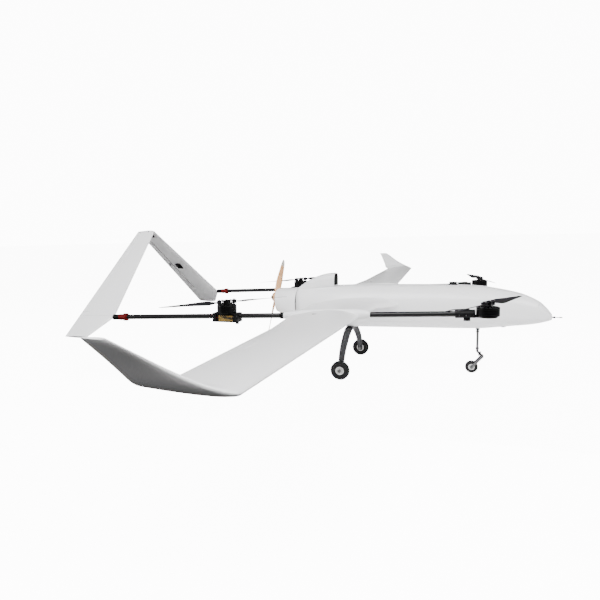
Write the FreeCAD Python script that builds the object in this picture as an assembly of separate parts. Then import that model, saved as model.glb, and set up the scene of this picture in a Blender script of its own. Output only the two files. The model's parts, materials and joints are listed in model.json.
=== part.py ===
"""Fixed wing drone with four lift rotors and a pusher propeller.

Millimetres. +X points to the nose, +Y to port (left), +Z up, and the wheels stand on Z = 0.
A station is a distance aft of the nose tip; x_of() turns it into X.
"""
import FreeCAD, Part
import math
import os

V = FreeCAD.Vector
UP = V(0, 0, 1)
PORT = V(0, 1, 0)
FORE = V(1, 0, 0)

# ---------------------------------------------------------------- driving dimensions
# overall
tail_end_station = 1969.0
pitot_length = 36.0
nose_x = (tail_end_station - pitot_length) / 2     # puts the origin midway along the aircraft

# fuselage: station, top, bottom, half width
body_sections = [
    (5, 268, 242.5, 13),
    (20, 288, 237.5, 27),
    (52, 319, 229, 45),
    (91, 340, 222, 58),
    (130, 355, 217.5, 69),
    (209, 372, 209, 83),
    (289, 384, 201, 91),
    (413, 389, 198, 95),
    (640, 388, 195, 95),
    (880, 384, 192, 92),
    (1000, 378, 199, 78),
    (1100, 369, 214, 64),
]
body_power = 2.3
skin = 2.5
hatch_front_station = 66.0
hatch_rear_station = 372.0
hatch_front_height = 299.0
hatch_rear_height = 357.0
seam_gap = 0.6
firewall_station = 1086.0
firewall_thickness = 5.0

# payload bay
tray_height = 233.0
tray_thickness = 3.0
tray_front_station = 150.0
tray_rear_station = 860.0
tray_half_width = 78.0
payload_hole_radius = 1.6
payload_hole_spacing_x = 80.0
payload_hole_spacing_y = 60.0
payload_station = 200.0
strut_hole_clearance = 1.0
battery_size = (150.0, 90.0, 62.0)
battery_station = 470.0
controller_size = (88.0, 56.0, 26.0)
controller_station = 610.0
tank_size = (165.0, 120.0, 56.0)
tank_station = 770.0
tank_corner = 12.0

# outside fittings on the fuselage
antenna_size = (32.0, 32.0)
antenna_station = 400.0
antenna_top = 399.0
antenna_sunk = 19.0
pitot_height = 254.0
pitot_root_station = 12.0
pitot_radius = 1.8
pitot_collar_radius = 3.4
pitot_collar_length = 21.0

# engine bay
engine_height = 321.0
cowl_sections = [
    (1100, 369, 214, 80),
    (1152, 366, 231, 74),
    (1206, 362, 253, 57),
]
cowl_skin = 2.0
cowl_rear_wall = 3.0
cowl_rear_hole = 26.0
crankcase_radius = 25.0
crankcase_length = 96.0
cylinder_radius = 17.0
cylinder_reach = 57.0
fin_radius = 20.0
fin_thickness = 1.6
fin_pitch = 4.6
fin_count = 5
fin_tip_gap = 4.0
shaft_seat = 38.0

# air scoop on the rear deck: station, top, bottom, half width
scoop_sections = [
    (921, 438, 365, 43),
    (998, 427, 360, 41),
    (1066, 394, 350, 36),
    (1098, 371, 340, 30),
]
scoop_skin = 2.5
scoop_power = 3.0
scoop_duct_stations = (940.0, 1010.0)
scoop_duct_half_width = 24.0

# pusher propeller
shaft_radius = 8.0
shaft_clearance = 0.05
prop_station = 1220.0
prop_radius = 216.0
prop_thickness = 18.0
prop_hub_radius = 22.0
prop_angle = 38.0                 # blade line, from vertical towards port
washer_thickness = 3.0
washer_rim = 3.0                  # the hub's edge stands out beyond the washer
shaft_tail = 6.0
prop_bolt_radius = 2.5
prop_bolt_circle = 14.0
prop_bolt_tail = 3.0
prop_blade_sections = [           # share of the blade beyond the hub, chord, pitch, thickness
    (-0.04, 22, 50, 11),
    (0.06, 27, 45, 11),
    (0.25, 36, 34, 8),
    (0.48, 38, 24, 6),
    (0.74, 32, 18, 4.5),
    (0.92, 24, 15, 3.2),
    (1.0, 12, 13, 2.0),
]

# booms
boom_spacing = 495.0              # from the centreline
boom_radius = 10.0
boom_wall = 1.5
boom_rear_station = 1771.0
boom_rear_height = 288.0
boom_slope = math.tan(math.radians(1.96))

# wing: distance from the centreline, leading and trailing edge station
wing_root_height = 304.0
dihedral = 1.7
wing_sections = [
    (40, 560, 1016),
    (112, 640, 1010),
    (185, 702, 1002),
    (boom_spacing, 718, 976),
    (845, 717, 930),
    (1545, 722, 893),
]
wing_thickness = 0.12
wing_camber = 0.025
root_thickness = 40.0             # the strake ahead of the root makes the chord long, not thick
edge_thickness = 1.2
spar_radius = 6.0
spar_station = 800.0
spar_start = 4.0
spar_reach = 760.0
aileron_inner = 848.0
aileron_outer = 1238.0
aileron_hinge = 0.74              # share of the chord
hinge_depth = 1.5                 # hinge axis below the upper skin
hinge_pin_radius = 1.2
hinge_gap = 2.0
hinge_bevel = 28.0
end_gap = 1.0

# winglet: distance along its curve, leading and trailing edge station
winglet_bend = 54.25
winglet_bend_radius = 60.0
winglet_sections = [
    (0, 722, 893),
    (15, 725, 903),
    (30, 738, 912),
    (57, 779, 922),
    (80, 817, 931),
    (110, 857, 944),
    (157, 917, 967),
]
winglet_thickness = 0.10

# boom fittings: fairing station, half width, half height
fairing_sections = [
    (678, 12.5, 12.5),
    (706, 17.0, 19.0),
    (760, 20.0, 23.0),
    (900, 20.0, 22.0),
    (975, 16.0, 17.0),
    (1008, 12.5, 12.5),
]
collar_stations = (1704.0, 1010.0)
collar_length = (40.0, 13.0)
collar_radius = 12.5
collar_ring_radius = 16.0
collar_ring_length = 14.0
collar_ring_inset = 4.0
socket_radius = 11.5
spigot_radius = 5.0
spigot_length = 62.0
plug_length = 26.0
socket_cap = 4.0                  # closed end of the socket, behind the boom

# tail: an upside-down V, from its peak down through the boom ends to the ventral fins
tail_peak_height = 650.0
tail_peak_edges = (1871.0, 1967.0)
tail_boom_edges = (1772.0, 1951.0)
tail_tip_edges = (1840.0, 1948.0)
tail_thickness = 0.095
ventral_length = 121.0
ruddervator_inner = 46.0          # along the tail from its peak
ruddervator_margin = 25.0         # from its outer end to the boom's axis
ruddervator_hinge = 0.76
tail_seam_gap = 0.6
tail_peak_overrun = 12.0
peak_bracket_half_width = 26.0
peak_bracket_depth = 11.0
peak_bracket_length = 32.0
peak_bracket_share = 0.52         # of the chord

# servos: length, width, depth
servo_size = (34.0, 22.0, 11.0)
aileron_servo_span = 1043.0
tail_servo_span = 312.0
wing_servo_share = 0.50           # of the chord
tail_servo_share = 0.44
tail_servo_sunk_share = 0.45      # of the servo's depth

# lift motors
front_motor_station = 277.0
rear_motor_station = 1246.0
front_motor_base = 330.0
rear_motor_base = 319.5
can_radius = 38.5
can_height = 30.0
can_wall = 3.0
can_gap = 2.0
can_lid_gap = 1.0
stator_foot = 1.0
shaft_foot = 4.0
stator_radius = 33.0
stator_base_radius = 27.0
motor_shaft_radius = 4.0
rotor_rise = 11.0                 # blade plane above the top of the can
lift_radius = 266.0
fold_radius = 31.0
eye_radius = 9.0
eye_height = 8.0
eye_gap = 0.35
grip_thickness = 2.5
grip_width = 20.0
pivot_radius = 2.5
pivot_clearance = 0.05
pivot_head_radius = 4.5
pivot_head_height = 2.0
hub_radius = 12.0
lift_blade_sections = [           # share of the blade beyond its pivot, chord, pitch, thickness
    (0.013, 12, 4, 6.8),
    (0.068, 15, 14, 6.0),
    (0.166, 33, 20, 4.6),
    (0.294, 38, 17, 3.8),
    (0.549, 30, 12, 2.8),
    (0.804, 19, 9, 2.0),
    (0.953, 11, 8, 1.5),
    (1.0, 5, 8, 1.2),
]
rotor_angles = {"front_left": 103.0, "front_right": 61.5, "rear_left": 50.0, "rear_right": 46.0}

# motor mounts
mount_plate = 3.5
mount_plate_radius = 31.0
sleeve_radius = 14.5
sleeve_length = 66.0
tongue_length = 12.0
tongue_half_width = 17.0
clamp_lug_stations = (16.0, 38.0)  # behind the boom's front end
clamp_lug_depths = (8.0, 25.0)    # below the boom's axis
clamp_lug_half_width = 7.0
rear_mount_length = 108.0
rear_mount_half_width = 22.0
rear_mount_depth = 35.0
rear_mount_end = 16.0
rear_mount_floor = 2.5
rear_lug = (9.0, 12.0, 6.0)
speed_controller_size = (70.0, 6.0, 24.0)
speed_controller_gap = 1.0

# undercarriage
main_wheel_station = 853.0
main_wheel_radius = 40.8
main_track = 236.0                # from the centreline to the middle of the tyre
main_tyre_width = 27.0
main_rim_radius = 17.0
rim_share = 0.8                   # width of a wheel's hub, as a share of its tyre's
main_axle_radius = 4.0
bow_thickness = 6.0
bow_root_width = 36.0
bow_foot_width = 21.0
bow_top_height = 189.0
bow_tyre_gap = 6.0
axle_head_radius = 7.5
axle_nut_length = 5.0
axle_head_length = 4.0
axle_end_play = 0.5
nose_wheel_station = 318.0
nose_wheel_radius = 27.2
nose_tyre_width = 20.0
nose_rim_radius = 12.0
nose_axle_radius = 3.0
nose_strut_station = 295.0
nose_strut_radius = 5.5
nose_strut_bottom = 98.0
nose_strut_above_tray = 22.0
nose_collar_drop = 9.0
nose_collar_length = 6.0
nose_collar_rim = 3.0
knee_station = 275.0
knee_height = 76.0
knee_pin_radius = 3.0
knee_radius = 7.0
knee_half_width = 6.0
link_arm_gap = 2.0
link_arm_thickness = 3.0
link_arm_height = 11.0
link_end_rim = 1.0
running_clearance = 0.05


# ---------------------------------------------------------------- helpers
def x_of(station):
    """X of a distance aft of the nose tip."""
    return nose_x - station


def boom_height(station):
    """Height of the boom's axis at a station."""
    return boom_rear_height + boom_slope * (boom_rear_station - station)


def save(name, *solids):
    """Write one named sub-part, made of one solid or a group of separate ones."""
    shape = solids[0] if len(solids) == 1 else Part.makeCompound(list(solids))
    shape.exportStep("parts/" + name + ".step")


def mirrored(shape):
    """The same shape on the starboard side."""
    return shape.mirror(V(0, 0, 0), PORT)


def block(x_low, x_high, y_low, y_high, z_low, z_high):
    return Part.makeBox(x_high - x_low, y_high - y_low, z_high - z_low, V(x_low, y_low, z_low))


def rod(start, end, radius):
    """A round bar between two points."""
    along = end.sub(start)
    return Part.makeCylinder(radius, along.Length, start, along)


def prism(points, along):
    """A closed polygon pushed along a vector."""
    return Part.Face(Part.makePolygon(points + [points[0]])).extrude(along)


def turned(outline, centre, axis):
    """A closed outline of (radius, distance along the axis), revolved round the axis."""
    across = UP if abs(axis.dot(UP)) < 0.5 else FORE
    points = [centre + across * r + axis * a for r, a in outline]
    face = Part.Face(Part.makePolygon(points + [points[0]]))
    return face.revolve(centre, axis, 360)


def spline_wire(points):
    """A smooth closed curve through the points."""
    curve = Part.BSplineCurve()
    curve.interpolate(Points=points, PeriodicFlag=True)
    return Part.Wire(curve.toShape())


def rounded_section(station, top, bottom, half_width, power=body_power, inset=0.0):
    """A superellipse across the fuselage, drawn in by inset."""
    corners = 24
    middle = (top + bottom) / 2
    half_height = (top - bottom) / 2 - inset
    width = half_width - inset
    points = []
    for i in range(corners):
        angle = 2 * math.pi * i / corners
        c, s = math.cos(angle), math.sin(angle)
        y = math.copysign(width * abs(c) ** (2 / power), c)
        z = middle + math.copysign(half_height * abs(s) ** (2 / power), s)
        points.append(V(x_of(station), y, z))
    return spline_wire(points)


def grown(distance_from, distance_to, share):
    """A distance at a share of the way between two others."""
    return distance_from + share * (distance_to - distance_from)


def loft(wires, straight=False):
    return Part.makeLoft(wires, True, straight)


def biggest(shape):
    """The largest solid of a cut, without slivers."""
    return max(shape.Solids, key=lambda solid: solid.Volume)


# ---------------------------------------------------------------- aerofoils
def half_thickness(share, thickness):
    """Half the aerofoil's thickness at a share of the chord, for a unit chord."""
    t = thickness * 5
    return t * (0.2969 * math.sqrt(share) - 0.126 * share - 0.3516 * share ** 2
                + 0.2843 * share ** 3 - 0.1036 * share ** 4)


def camber_line(share, camber):
    """Height of the mean line, for a unit chord, highest at 40 percent."""
    peak = 0.4
    if share < peak:
        return camber / peak ** 2 * (2 * peak * share - share ** 2)
    return camber / (1 - peak) ** 2 * (1 - 2 * peak + 2 * peak * share - share ** 2)


def surface_offset(share, chord, thickness, camber, side):
    """Distance from the chord line to the upper (side 1) or lower (side -1) surface."""
    blunt = side * edge_thickness / 2 * share
    return chord * (camber_line(share, camber) + side * half_thickness(share, thickness)) + blunt


def aerofoil(origin, normal, lead, trail, thickness, camber):
    """One wing section: a curve round the nose, closed by the blunt trailing edge."""
    steps = 12
    chord = trail - lead
    shares = [0.5 * (1 + math.cos(math.pi * i / steps)) for i in range(steps + 1)]
    path = [(share, 1) for share in shares] + [(share, -1) for share in reversed(shares[:-1])]
    points = []
    for share, side in path:
        lift = surface_offset(share, chord, thickness, camber, side)
        points.append(origin + FORE * x_of(lead + chord * share) + normal * lift)
    curve = Part.BSplineCurve()
    curve.interpolate(points)
    return Part.Wire([curve.toShape(), Part.makeLine(points[-1], points[0])])


def wing_point(span):
    """A point on the wing's chord plane, at X = 0, a distance out from the centreline."""
    slope = math.radians(dihedral)
    return V(0, span * math.cos(slope), wing_root_height + span * math.sin(slope))


def wing_normal():
    slope = math.radians(dihedral)
    return V(0, -math.sin(slope), math.cos(slope))


def tail_angle():
    """Slope of a tail panel, down from the peak to the boom's end."""
    return math.atan2(tail_peak_height - boom_rear_height, boom_spacing)


def tail_point(span):
    """A point on the left tail panel's chord plane, at X = 0."""
    slope = tail_angle()
    return V(0, span * math.cos(slope), tail_peak_height - span * math.sin(slope))


def tail_normal():
    slope = tail_angle()
    return V(0, math.sin(slope), math.cos(slope))


def tail_span():
    """Length of the tail panel from the peak to the boom's axis."""
    return math.hypot(tail_peak_height - boom_rear_height, boom_spacing)


def edges_at(span, sections):
    """Leading and trailing edge at a span, between straight-line sections."""
    for (a, lead_a, trail_a), (b, lead_b, trail_b) in zip(sections, sections[1:]):
        if a <= span <= b:
            share = (span - a) / (b - a)
            return lead_a + share * (lead_b - lead_a), trail_a + share * (trail_b - trail_a)
    return sections[-1][1:]


def wing_thickness_at(lead, trail):
    """Thickness ratio, which a long strake chord doesn't raise."""
    return min(wing_thickness, root_thickness / (trail - lead))


def wing_wire(span):
    lead, trail = edges_at(span, wing_sections)
    ratio = wing_thickness_at(lead, trail)
    return aerofoil(wing_point(span), wing_normal(), lead, trail, ratio, wing_camber)


def ruddervator_outer():
    """Where the ruddervator ends, along the tail from its peak."""
    return tail_span() - ruddervator_margin


def tail_table():
    return [
        (0.0,) + tail_peak_edges,
        (tail_span(),) + tail_boom_edges,
        (tail_span() + ventral_length,) + tail_tip_edges,
    ]


def tail_wire(span):
    lead, trail = edges_at(span, tail_table())
    return aerofoil(tail_point(span), tail_normal(), lead, trail, tail_thickness, 0.0)


def hinge_point(span, share, point_of, normal, edges, thickness, camber):
    """A point on a control surface's hinge axis, just under the upper skin."""
    lead, trail = edges
    chord = trail - lead
    height = surface_offset(share, chord, thickness, camber, 1) - hinge_depth
    return point_of(span) + FORE * x_of(lead + chord * share) + normal * height


def aileron_hinge_point(span):
    edges = edges_at(span, wing_sections)
    ratio = wing_thickness_at(*edges)
    return hinge_point(span, aileron_hinge, wing_point, wing_normal(), edges, ratio, wing_camber)


def ruddervator_hinge_point(span):
    edges = edges_at(span, tail_table())
    return hinge_point(span, ruddervator_hinge, tail_point, tail_normal(), edges, tail_thickness, 0.0)


def split_control(panel, inner, outer, hinge_of, normal):
    """Cut a control surface from a panel. It hinges on a pin along its upper front edge."""
    reach = 80.0
    start, end = inner + end_gap, outer - end_gap
    bevel = FORE * (-reach * math.tan(math.radians(hinge_bevel)))
    behind = FORE * (-2 * reach)

    def region(spans, forward, slanted):
        wires = []
        for span in spans:
            edge = hinge_of(span) + FORE * forward
            low = edge - normal * reach + (bevel if slanted else V(0, 0, 0))
            high = edge + normal * reach
            points = [low, edge, high, high + behind, edge - normal * reach + behind]
            wires.append(Part.makePolygon(points + [points[0]]))
        return loft(wires, True)

    surface = panel.common(region((start, end), 0.0, True))
    surface = surface.fuse(rod(hinge_of(start), hinge_of(end), hinge_pin_radius))
    rest = panel.cut(region((inner, outer), hinge_gap, False))
    return biggest(rest), biggest(surface)


# ---------------------------------------------------------------- fuselage
def faired(sections, station, column):
    """A column of a section table at a station, on a smooth curve that never overshoots."""
    stations = [section[0] for section in sections]
    values = [section[column] for section in sections]
    runs = [after - before for before, after in zip(stations, stations[1:])]
    slopes = [(after - before) / run for before, after, run in zip(values, values[1:], runs)]
    tangents = [slopes[0]]
    for before, after in zip(slopes, slopes[1:]):
        tangents.append(2 * before * after / (before + after) if before * after > 0 else 0.0)
    tangents.append(slopes[-1])
    i = max(k for k in range(len(slopes)) if station >= stations[k])
    t = (station - stations[i]) / runs[i]
    rise = values[i + 1] - values[i]
    start, end = tangents[i] * runs[i], tangents[i + 1] * runs[i]
    square = 3 * rise - 2 * start - end
    cube = start + end - 2 * rise
    return values[i] + start * t + square * t ** 2 + cube * t ** 3


def body_wire(station, inset):
    size = [faired(body_sections, station, column) for column in (1, 2, 3)]
    return rounded_section(station, *size, inset=inset)


def body_solid(inset=0.0):
    """The fuselage's outer form, or the space inside its skin. Sections crowd towards the nose."""
    front = body_sections[0][0] + 3 * inset
    rear = body_sections[-1][0]
    count = 26
    stations = [front + (rear - front) * (i / count) ** 1.6 for i in range(count + 1)]
    return loft([body_wire(min(station, rear), inset) for station in stations])


def hatch_region(gap):
    """The space of the nose hatch, grown by gap."""
    high = 500.0
    front = hatch_front_station - gap
    rear = hatch_rear_station + gap
    lean = 22.0
    points = [
        V(x_of(front), -200, hatch_front_height - gap),
        V(x_of(rear), -200, hatch_rear_height - gap),
        V(x_of(rear), -200, high),
        V(x_of(front - lean * 4), -200, high),
    ]
    return prism(points, PORT * 400)


def strut_hole():
    """The nose strut's way through the belly and the tray."""
    x = x_of(nose_strut_station)
    top = tray_height + tray_thickness + 1
    return rod(V(x, 0, nose_strut_bottom), V(x, 0, top), nose_strut_radius + strut_hole_clearance)


def make_fuselage(outer, inner):
    shell = outer.cut(inner)
    hatch = shell.common(hatch_region(0.0))
    shell = shell.cut(hatch_region(seam_gap))
    front, rear = scoop_duct_stations
    duct = block(x_of(rear), x_of(front), -scoop_duct_half_width, scoop_duct_half_width, 340, 420)
    for hole in (strut_hole(), duct, spar_rod(), mirrored(spar_rod())):
        shell = shell.cut(hole)
    save("fuselage_shell", biggest(shell))
    save("nose_hatch", biggest(hatch))


def make_payload_bay(inner):
    top = tray_height + tray_thickness
    tray = block(x_of(tray_rear_station), x_of(tray_front_station),
                 -tray_half_width, tray_half_width, tray_height, top)
    tray = tray.common(inner)
    for i in (-0.5, 0.5):
        for j in (-0.5, 0.5):
            x = x_of(payload_station) + i * payload_hole_spacing_x
            y = j * payload_hole_spacing_y
            tray = tray.cut(rod(V(x, y, tray_height - 1), V(x, y, top + 1), payload_hole_radius))
    save("payload_tray", biggest(tray.cut(strut_hole())))

    def on_tray(size, station):
        length, width, height = size
        return block(x_of(station) - length / 2, x_of(station) + length / 2,
                     -width / 2, width / 2, top, top + height)

    save("battery_pack", on_tray(battery_size, battery_station))
    save("flight_controller", on_tray(controller_size, controller_station))
    tank = on_tray(tank_size, tank_station)
    upper_edges = [edge for edge in tank.Edges if edge.BoundBox.ZMin > top + tank_size[2] / 2]
    save("fuel_tank", tank.makeFillet(tank_corner, upper_edges))


def make_top_antenna(outer):
    length, width = antenna_size
    middle = x_of(antenna_station)
    case = block(middle - length / 2, middle + length / 2, -width / 2, width / 2,
                 antenna_top - antenna_sunk, antenna_top)
    save("top_antenna", biggest(case.cut(outer)))


def make_pitot():
    root = V(x_of(pitot_root_station), 0, pitot_height)
    tube = rod(root, V(x_of(-pitot_length), 0, pitot_height), pitot_radius)
    collar = rod(root, root + FORE * pitot_collar_length, pitot_collar_radius)
    return tube.fuse(collar).removeSplitter()


# ---------------------------------------------------------------- engine bay
def make_firewall(inner):
    rear = x_of(firewall_station + firewall_thickness)
    wall = block(rear, x_of(firewall_station), -100, 100, 150, 450)
    save("firewall", biggest(wall.common(inner)))


def make_engine():
    front = firewall_station + firewall_thickness
    rear = front + crankcase_length
    case = rod(V(x_of(rear), 0, engine_height), V(x_of(front), 0, engine_height), crankcase_radius)
    middle = x_of(front + crankcase_length * 0.5)
    for side in (-1, 1):
        centre = V(middle, 0, engine_height)
        outward = PORT * side
        case = case.fuse(rod(centre, centre + outward * cylinder_reach, cylinder_radius))
        for i in range(fin_count):
            face = centre + outward * (cylinder_reach - fin_tip_gap - i * fin_pitch)
            case = case.fuse(rod(face, face + outward * fin_thickness, fin_radius))
    bore = rod(V(x_of(rear + 1), 0, engine_height), V(x_of(rear - shaft_seat - 2), 0, engine_height),
               shaft_radius + shaft_clearance)
    save("engine", biggest(case.cut(bore)))


def make_cowl():
    outer = loft([rounded_section(*section) for section in cowl_sections])
    inner_sections = [cowl_sections[0], cowl_sections[1]]
    station, top, bottom, width = cowl_sections[2]
    inner_sections.append((station - cowl_rear_wall, top, bottom, width))
    inner = loft([rounded_section(*section, inset=cowl_skin) for section in inner_sections])
    behind = V(x_of(station + 5), 0, engine_height)
    hole = rod(behind, behind + FORE * 25, cowl_rear_hole)
    save("engine_cowl", biggest(outer.cut(inner).cut(hole)))


def make_scoop(outer_body):
    outer = loft([rounded_section(*section, power=scoop_power) for section in scoop_sections])
    inner_wires = []
    for station, top, bottom, width in scoop_sections[:-1]:
        wire = rounded_section(station - 0.5, top, bottom, width, power=scoop_power, inset=scoop_skin)
        inner_wires.append(wire)
    scoop = outer.cut(loft(inner_wires)).cut(outer_body)
    save("air_scoop", biggest(scoop))


def blade_section(distance, chord, pitch, thickness, along, across, lift, centre):
    """A thin blade section at a distance from the hub, pitched about the blade's length."""
    steps = 7
    angle = math.radians(pitch)
    forward = across * math.cos(angle) + lift * math.sin(angle)
    normal = lift * math.cos(angle) - across * math.sin(angle)
    middle = centre + along * distance
    edges = []
    for first in (0, steps):
        points = []
        for i in range(first, first + steps + 1):
            turn = math.pi * i / steps
            flat = math.cos(turn)
            bulge = math.sin(turn) * (0.62 + 0.38 * flat)
            points.append(middle + forward * (chord * flat / 2) + normal * (thickness / 2 * bulge))
        curve = Part.BSplineCurve()
        curve.interpolate(points)
        edges.append(curve.toShape())
    return Part.Wire(edges)


def make_pusher():
    centre = V(x_of(prop_station), 0, engine_height)
    angle = math.radians(prop_angle)
    tip = V(0, math.sin(angle), math.cos(angle))
    front = centre + FORE * (prop_thickness / 2)
    rear = centre - FORE * (prop_thickness / 2)
    blades = []
    for side in (1, -1):
        along = tip * side
        across = FORE.cross(along)
        wires = []
        for share, chord, pitch, thick in prop_blade_sections:
            distance = grown(prop_hub_radius, prop_radius, share)
            wires.append(blade_section(distance, chord, pitch, thick, along, across, FORE, centre))
        blades.append(loft(wires))
    prop = rod(rear, front, prop_hub_radius).multiFuse(blades)
    prop = prop.cut(rod(rear - FORE, front + FORE, shaft_radius))

    washer = FORE * washer_thickness
    engine_rear = firewall_station + firewall_thickness + crankcase_length
    seat = V(x_of(engine_rear - shaft_seat), 0, engine_height)
    hub = rod(seat, rear - washer - FORE * shaft_tail, shaft_radius)
    for face in (front, rear - washer):
        hub = hub.fuse(rod(face, face + washer, prop_hub_radius - washer_rim))
    for i in range(6):
        turn = math.pi * i / 3 + angle
        place = V(0, prop_bolt_circle * math.cos(turn), prop_bolt_circle * math.sin(turn))
        bolt = rod(front + place, rear + place - washer - FORE * prop_bolt_tail, prop_bolt_radius)
        hub = hub.fuse(bolt)
        prop = prop.cut(bolt)
    save("pusher_propeller", biggest(prop))
    save("pusher_hub", biggest(hub.removeSplitter()))


# ---------------------------------------------------------------- wing
def fairing_solid():
    """The streamlined cover of the left boom, where it goes through the wing."""
    wires = []
    for station, half_width, half_height in fairing_sections:
        height = boom_height(station)
        top, bottom = height + half_height, height - half_height
        wire = rounded_section(station, top, bottom, half_width, power=2.0)
        wires.append(wire.translated(V(0, boom_spacing, 0)))
    return loft(wires)


def boom_axis(start_station, end_station, radius):
    """A round bar along the left boom's axis."""
    start = V(x_of(start_station), boom_spacing, boom_height(start_station))
    end = V(x_of(end_station), boom_spacing, boom_height(end_station))
    return rod(start, end, radius)


def spar_rod():
    """The left wing's round spar, from near the centreline out past the boom."""
    start = wing_point(spar_start) + FORE * x_of(spar_station)
    end = wing_point(spar_reach) + FORE * x_of(spar_station)
    return rod(start, end, spar_radius)


def servo_block(point, normal, along, station, depth):
    """A servo sunk into a surface: its length runs along the panel's span."""
    length, width, height = servo_size
    middle = point + FORE * x_of(station) - normal * (depth + height)
    chordwise = FORE * (width / 2)
    spanwise = along * (length / 2)
    points = [middle - chordwise - spanwise, middle + chordwise - spanwise,
              middle + chordwise + spanwise, middle - chordwise + spanwise]
    return prism(points, normal * height)


def aileron_servo():
    """The left aileron's servo, flush with the wing's lower skin."""
    slope = math.radians(dihedral)
    along = V(0, math.cos(slope), math.sin(slope))
    lead, trail = edges_at(aileron_servo_span, wing_sections)
    station = grown(lead, trail, wing_servo_share)
    skin_offset = surface_offset(wing_servo_share, trail - lead, wing_thickness, wing_camber, -1)
    depth = -skin_offset - servo_size[2]
    return servo_block(wing_point(aileron_servo_span), wing_normal(), along, station, depth)


def make_wing(outer_body, servos):
    spans = [section[0] for section in wing_sections]
    at_boom = spans.index(boom_spacing)
    boom = boom_axis(boom_rear_station, front_motor_station, boom_radius)
    spar = spar_rod().cut(boom)
    fairing = fairing_solid()
    inner_panel = loft([wing_wire(span) for span in spans[:at_boom + 1]], True)
    outer_panel = loft([wing_wire(span) for span in spans[at_boom:]], True)
    servo = aileron_servo()
    servos.append(servo)
    inner_panel = biggest(inner_panel.cut(outer_body).cut(fairing).cut(spar))
    outer_panel = outer_panel.cut(fairing).cut(spar).cut(servo)
    outer_panel, aileron = split_control(outer_panel, aileron_inner, aileron_outer,
                                         aileron_hinge_point, wing_normal())
    fairing = biggest(fairing.cut(boom).cut(spar))
    save("wing_centre", inner_panel, mirrored(inner_panel))
    save("boom_fairings", fairing, mirrored(fairing))
    save("wing_spars", *(spar.Solids + mirrored(spar).Solids))
    for side, place in (("left", Part.Shape.copy), ("right", mirrored)):
        save("wing_" + side, place(outer_panel))
        save("aileron_" + side, place(aileron))


def winglet_point(distance):
    """A point along the winglet's curve and the surface normal there."""
    start = wing_point(wing_sections[-1][0])
    lean = math.radians(dihedral)
    bend = math.radians(winglet_bend)
    turned_by = min(distance / winglet_bend_radius, bend)
    angle = lean + turned_by
    y = start.y + winglet_bend_radius * (math.sin(angle) - math.sin(lean))
    z = start.z + winglet_bend_radius * (math.cos(lean) - math.cos(angle))
    straight = max(0.0, distance - winglet_bend_radius * bend)
    point = V(0, y + straight * math.cos(angle), z + straight * math.sin(angle))
    return point, V(0, -math.sin(angle), math.cos(angle))


def make_winglets():
    wires = []
    for distance, lead, trail in winglet_sections:
        point, normal = winglet_point(distance)
        blend = min(1.0, distance / (winglet_bend_radius * math.radians(winglet_bend)))
        ratio = wing_thickness + blend * (winglet_thickness - wing_thickness)
        wires.append(aerofoil(point, normal, lead, trail, ratio, wing_camber * (1 - blend)))
    winglet = loft(wires)
    save("winglet_left", winglet)
    save("winglet_right", mirrored(winglet))


# ---------------------------------------------------------------- booms and tail
def make_booms():
    front_station = front_motor_station + can_radius + can_gap
    tube = boom_axis(boom_rear_station - socket_cap, front_station, boom_radius)
    hollow = boom_axis(boom_rear_station + 10, front_station - 10, boom_radius - boom_wall)
    boom = tube.cut(hollow)
    save("boom_left", boom)
    save("boom_right", mirrored(boom))
    collars = []
    for station, length in zip(collar_stations, collar_length):
        collar = boom_axis(station + length, station, collar_radius)
        if length > collar_ring_length * 1.5:
            ring_station = station + collar_ring_inset
            ring = boom_axis(ring_station + collar_ring_length, ring_station, collar_ring_radius)
            collar = collar.fuse(ring)
        collar = biggest(collar.cut(boom_axis(station + length + 5, station - 5, boom_radius)))
        collars += [collar, mirrored(collar)]
    save("boom_collars", *collars)


def tail_socket():
    """The plug in the boom's rear end, with the spigot that carries the tail."""
    start = collar_stations[0] + collar_length[0]
    boom_end = boom_rear_station - socket_cap
    sleeve = boom_axis(boom_rear_station + 3, start, socket_radius)
    sleeve = sleeve.cut(boom_axis(boom_end, start - 1, boom_radius))
    spigot = boom_axis(boom_rear_station + spigot_length, boom_end, spigot_radius)
    plug = boom_axis(boom_end, boom_end - plug_length, boom_radius - boom_wall)
    return sleeve.fuse(spigot).fuse(plug).removeSplitter()


def tail_servo():
    """The left ruddervator's servo, standing half out of the tail's inner face."""
    slope = tail_angle()
    along = V(0, math.cos(slope), -math.sin(slope))
    lead, trail = edges_at(tail_servo_span, tail_table())
    station = grown(lead, trail, tail_servo_share)
    skin_offset = surface_offset(tail_servo_share, trail - lead, tail_thickness, 0.0, -1)
    depth = -skin_offset - servo_size[2] * tail_servo_sunk_share
    return servo_block(tail_point(tail_servo_span), tail_normal(), along, station, depth)


def tail_panel_blank():
    """The left panel from the centreline to the boom, before anything is cut from it."""
    # the section at the peak is square to the panel, so the panel is carried on past the centreline
    lead, trail = tail_peak_edges
    past = tail_point(-tail_peak_overrun)
    beyond = aerofoil(past, tail_normal(), lead, trail, tail_thickness, 0.0)
    panel = loft([tail_wire(0.0), tail_wire(tail_span())], True)
    panel = panel.fuse(loft([beyond, tail_wire(0.0)], True)).removeSplitter()
    starboard = block(-2000, 2000, -400, tail_seam_gap / 2, 0, 1000)
    return panel.cut(starboard)


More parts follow.
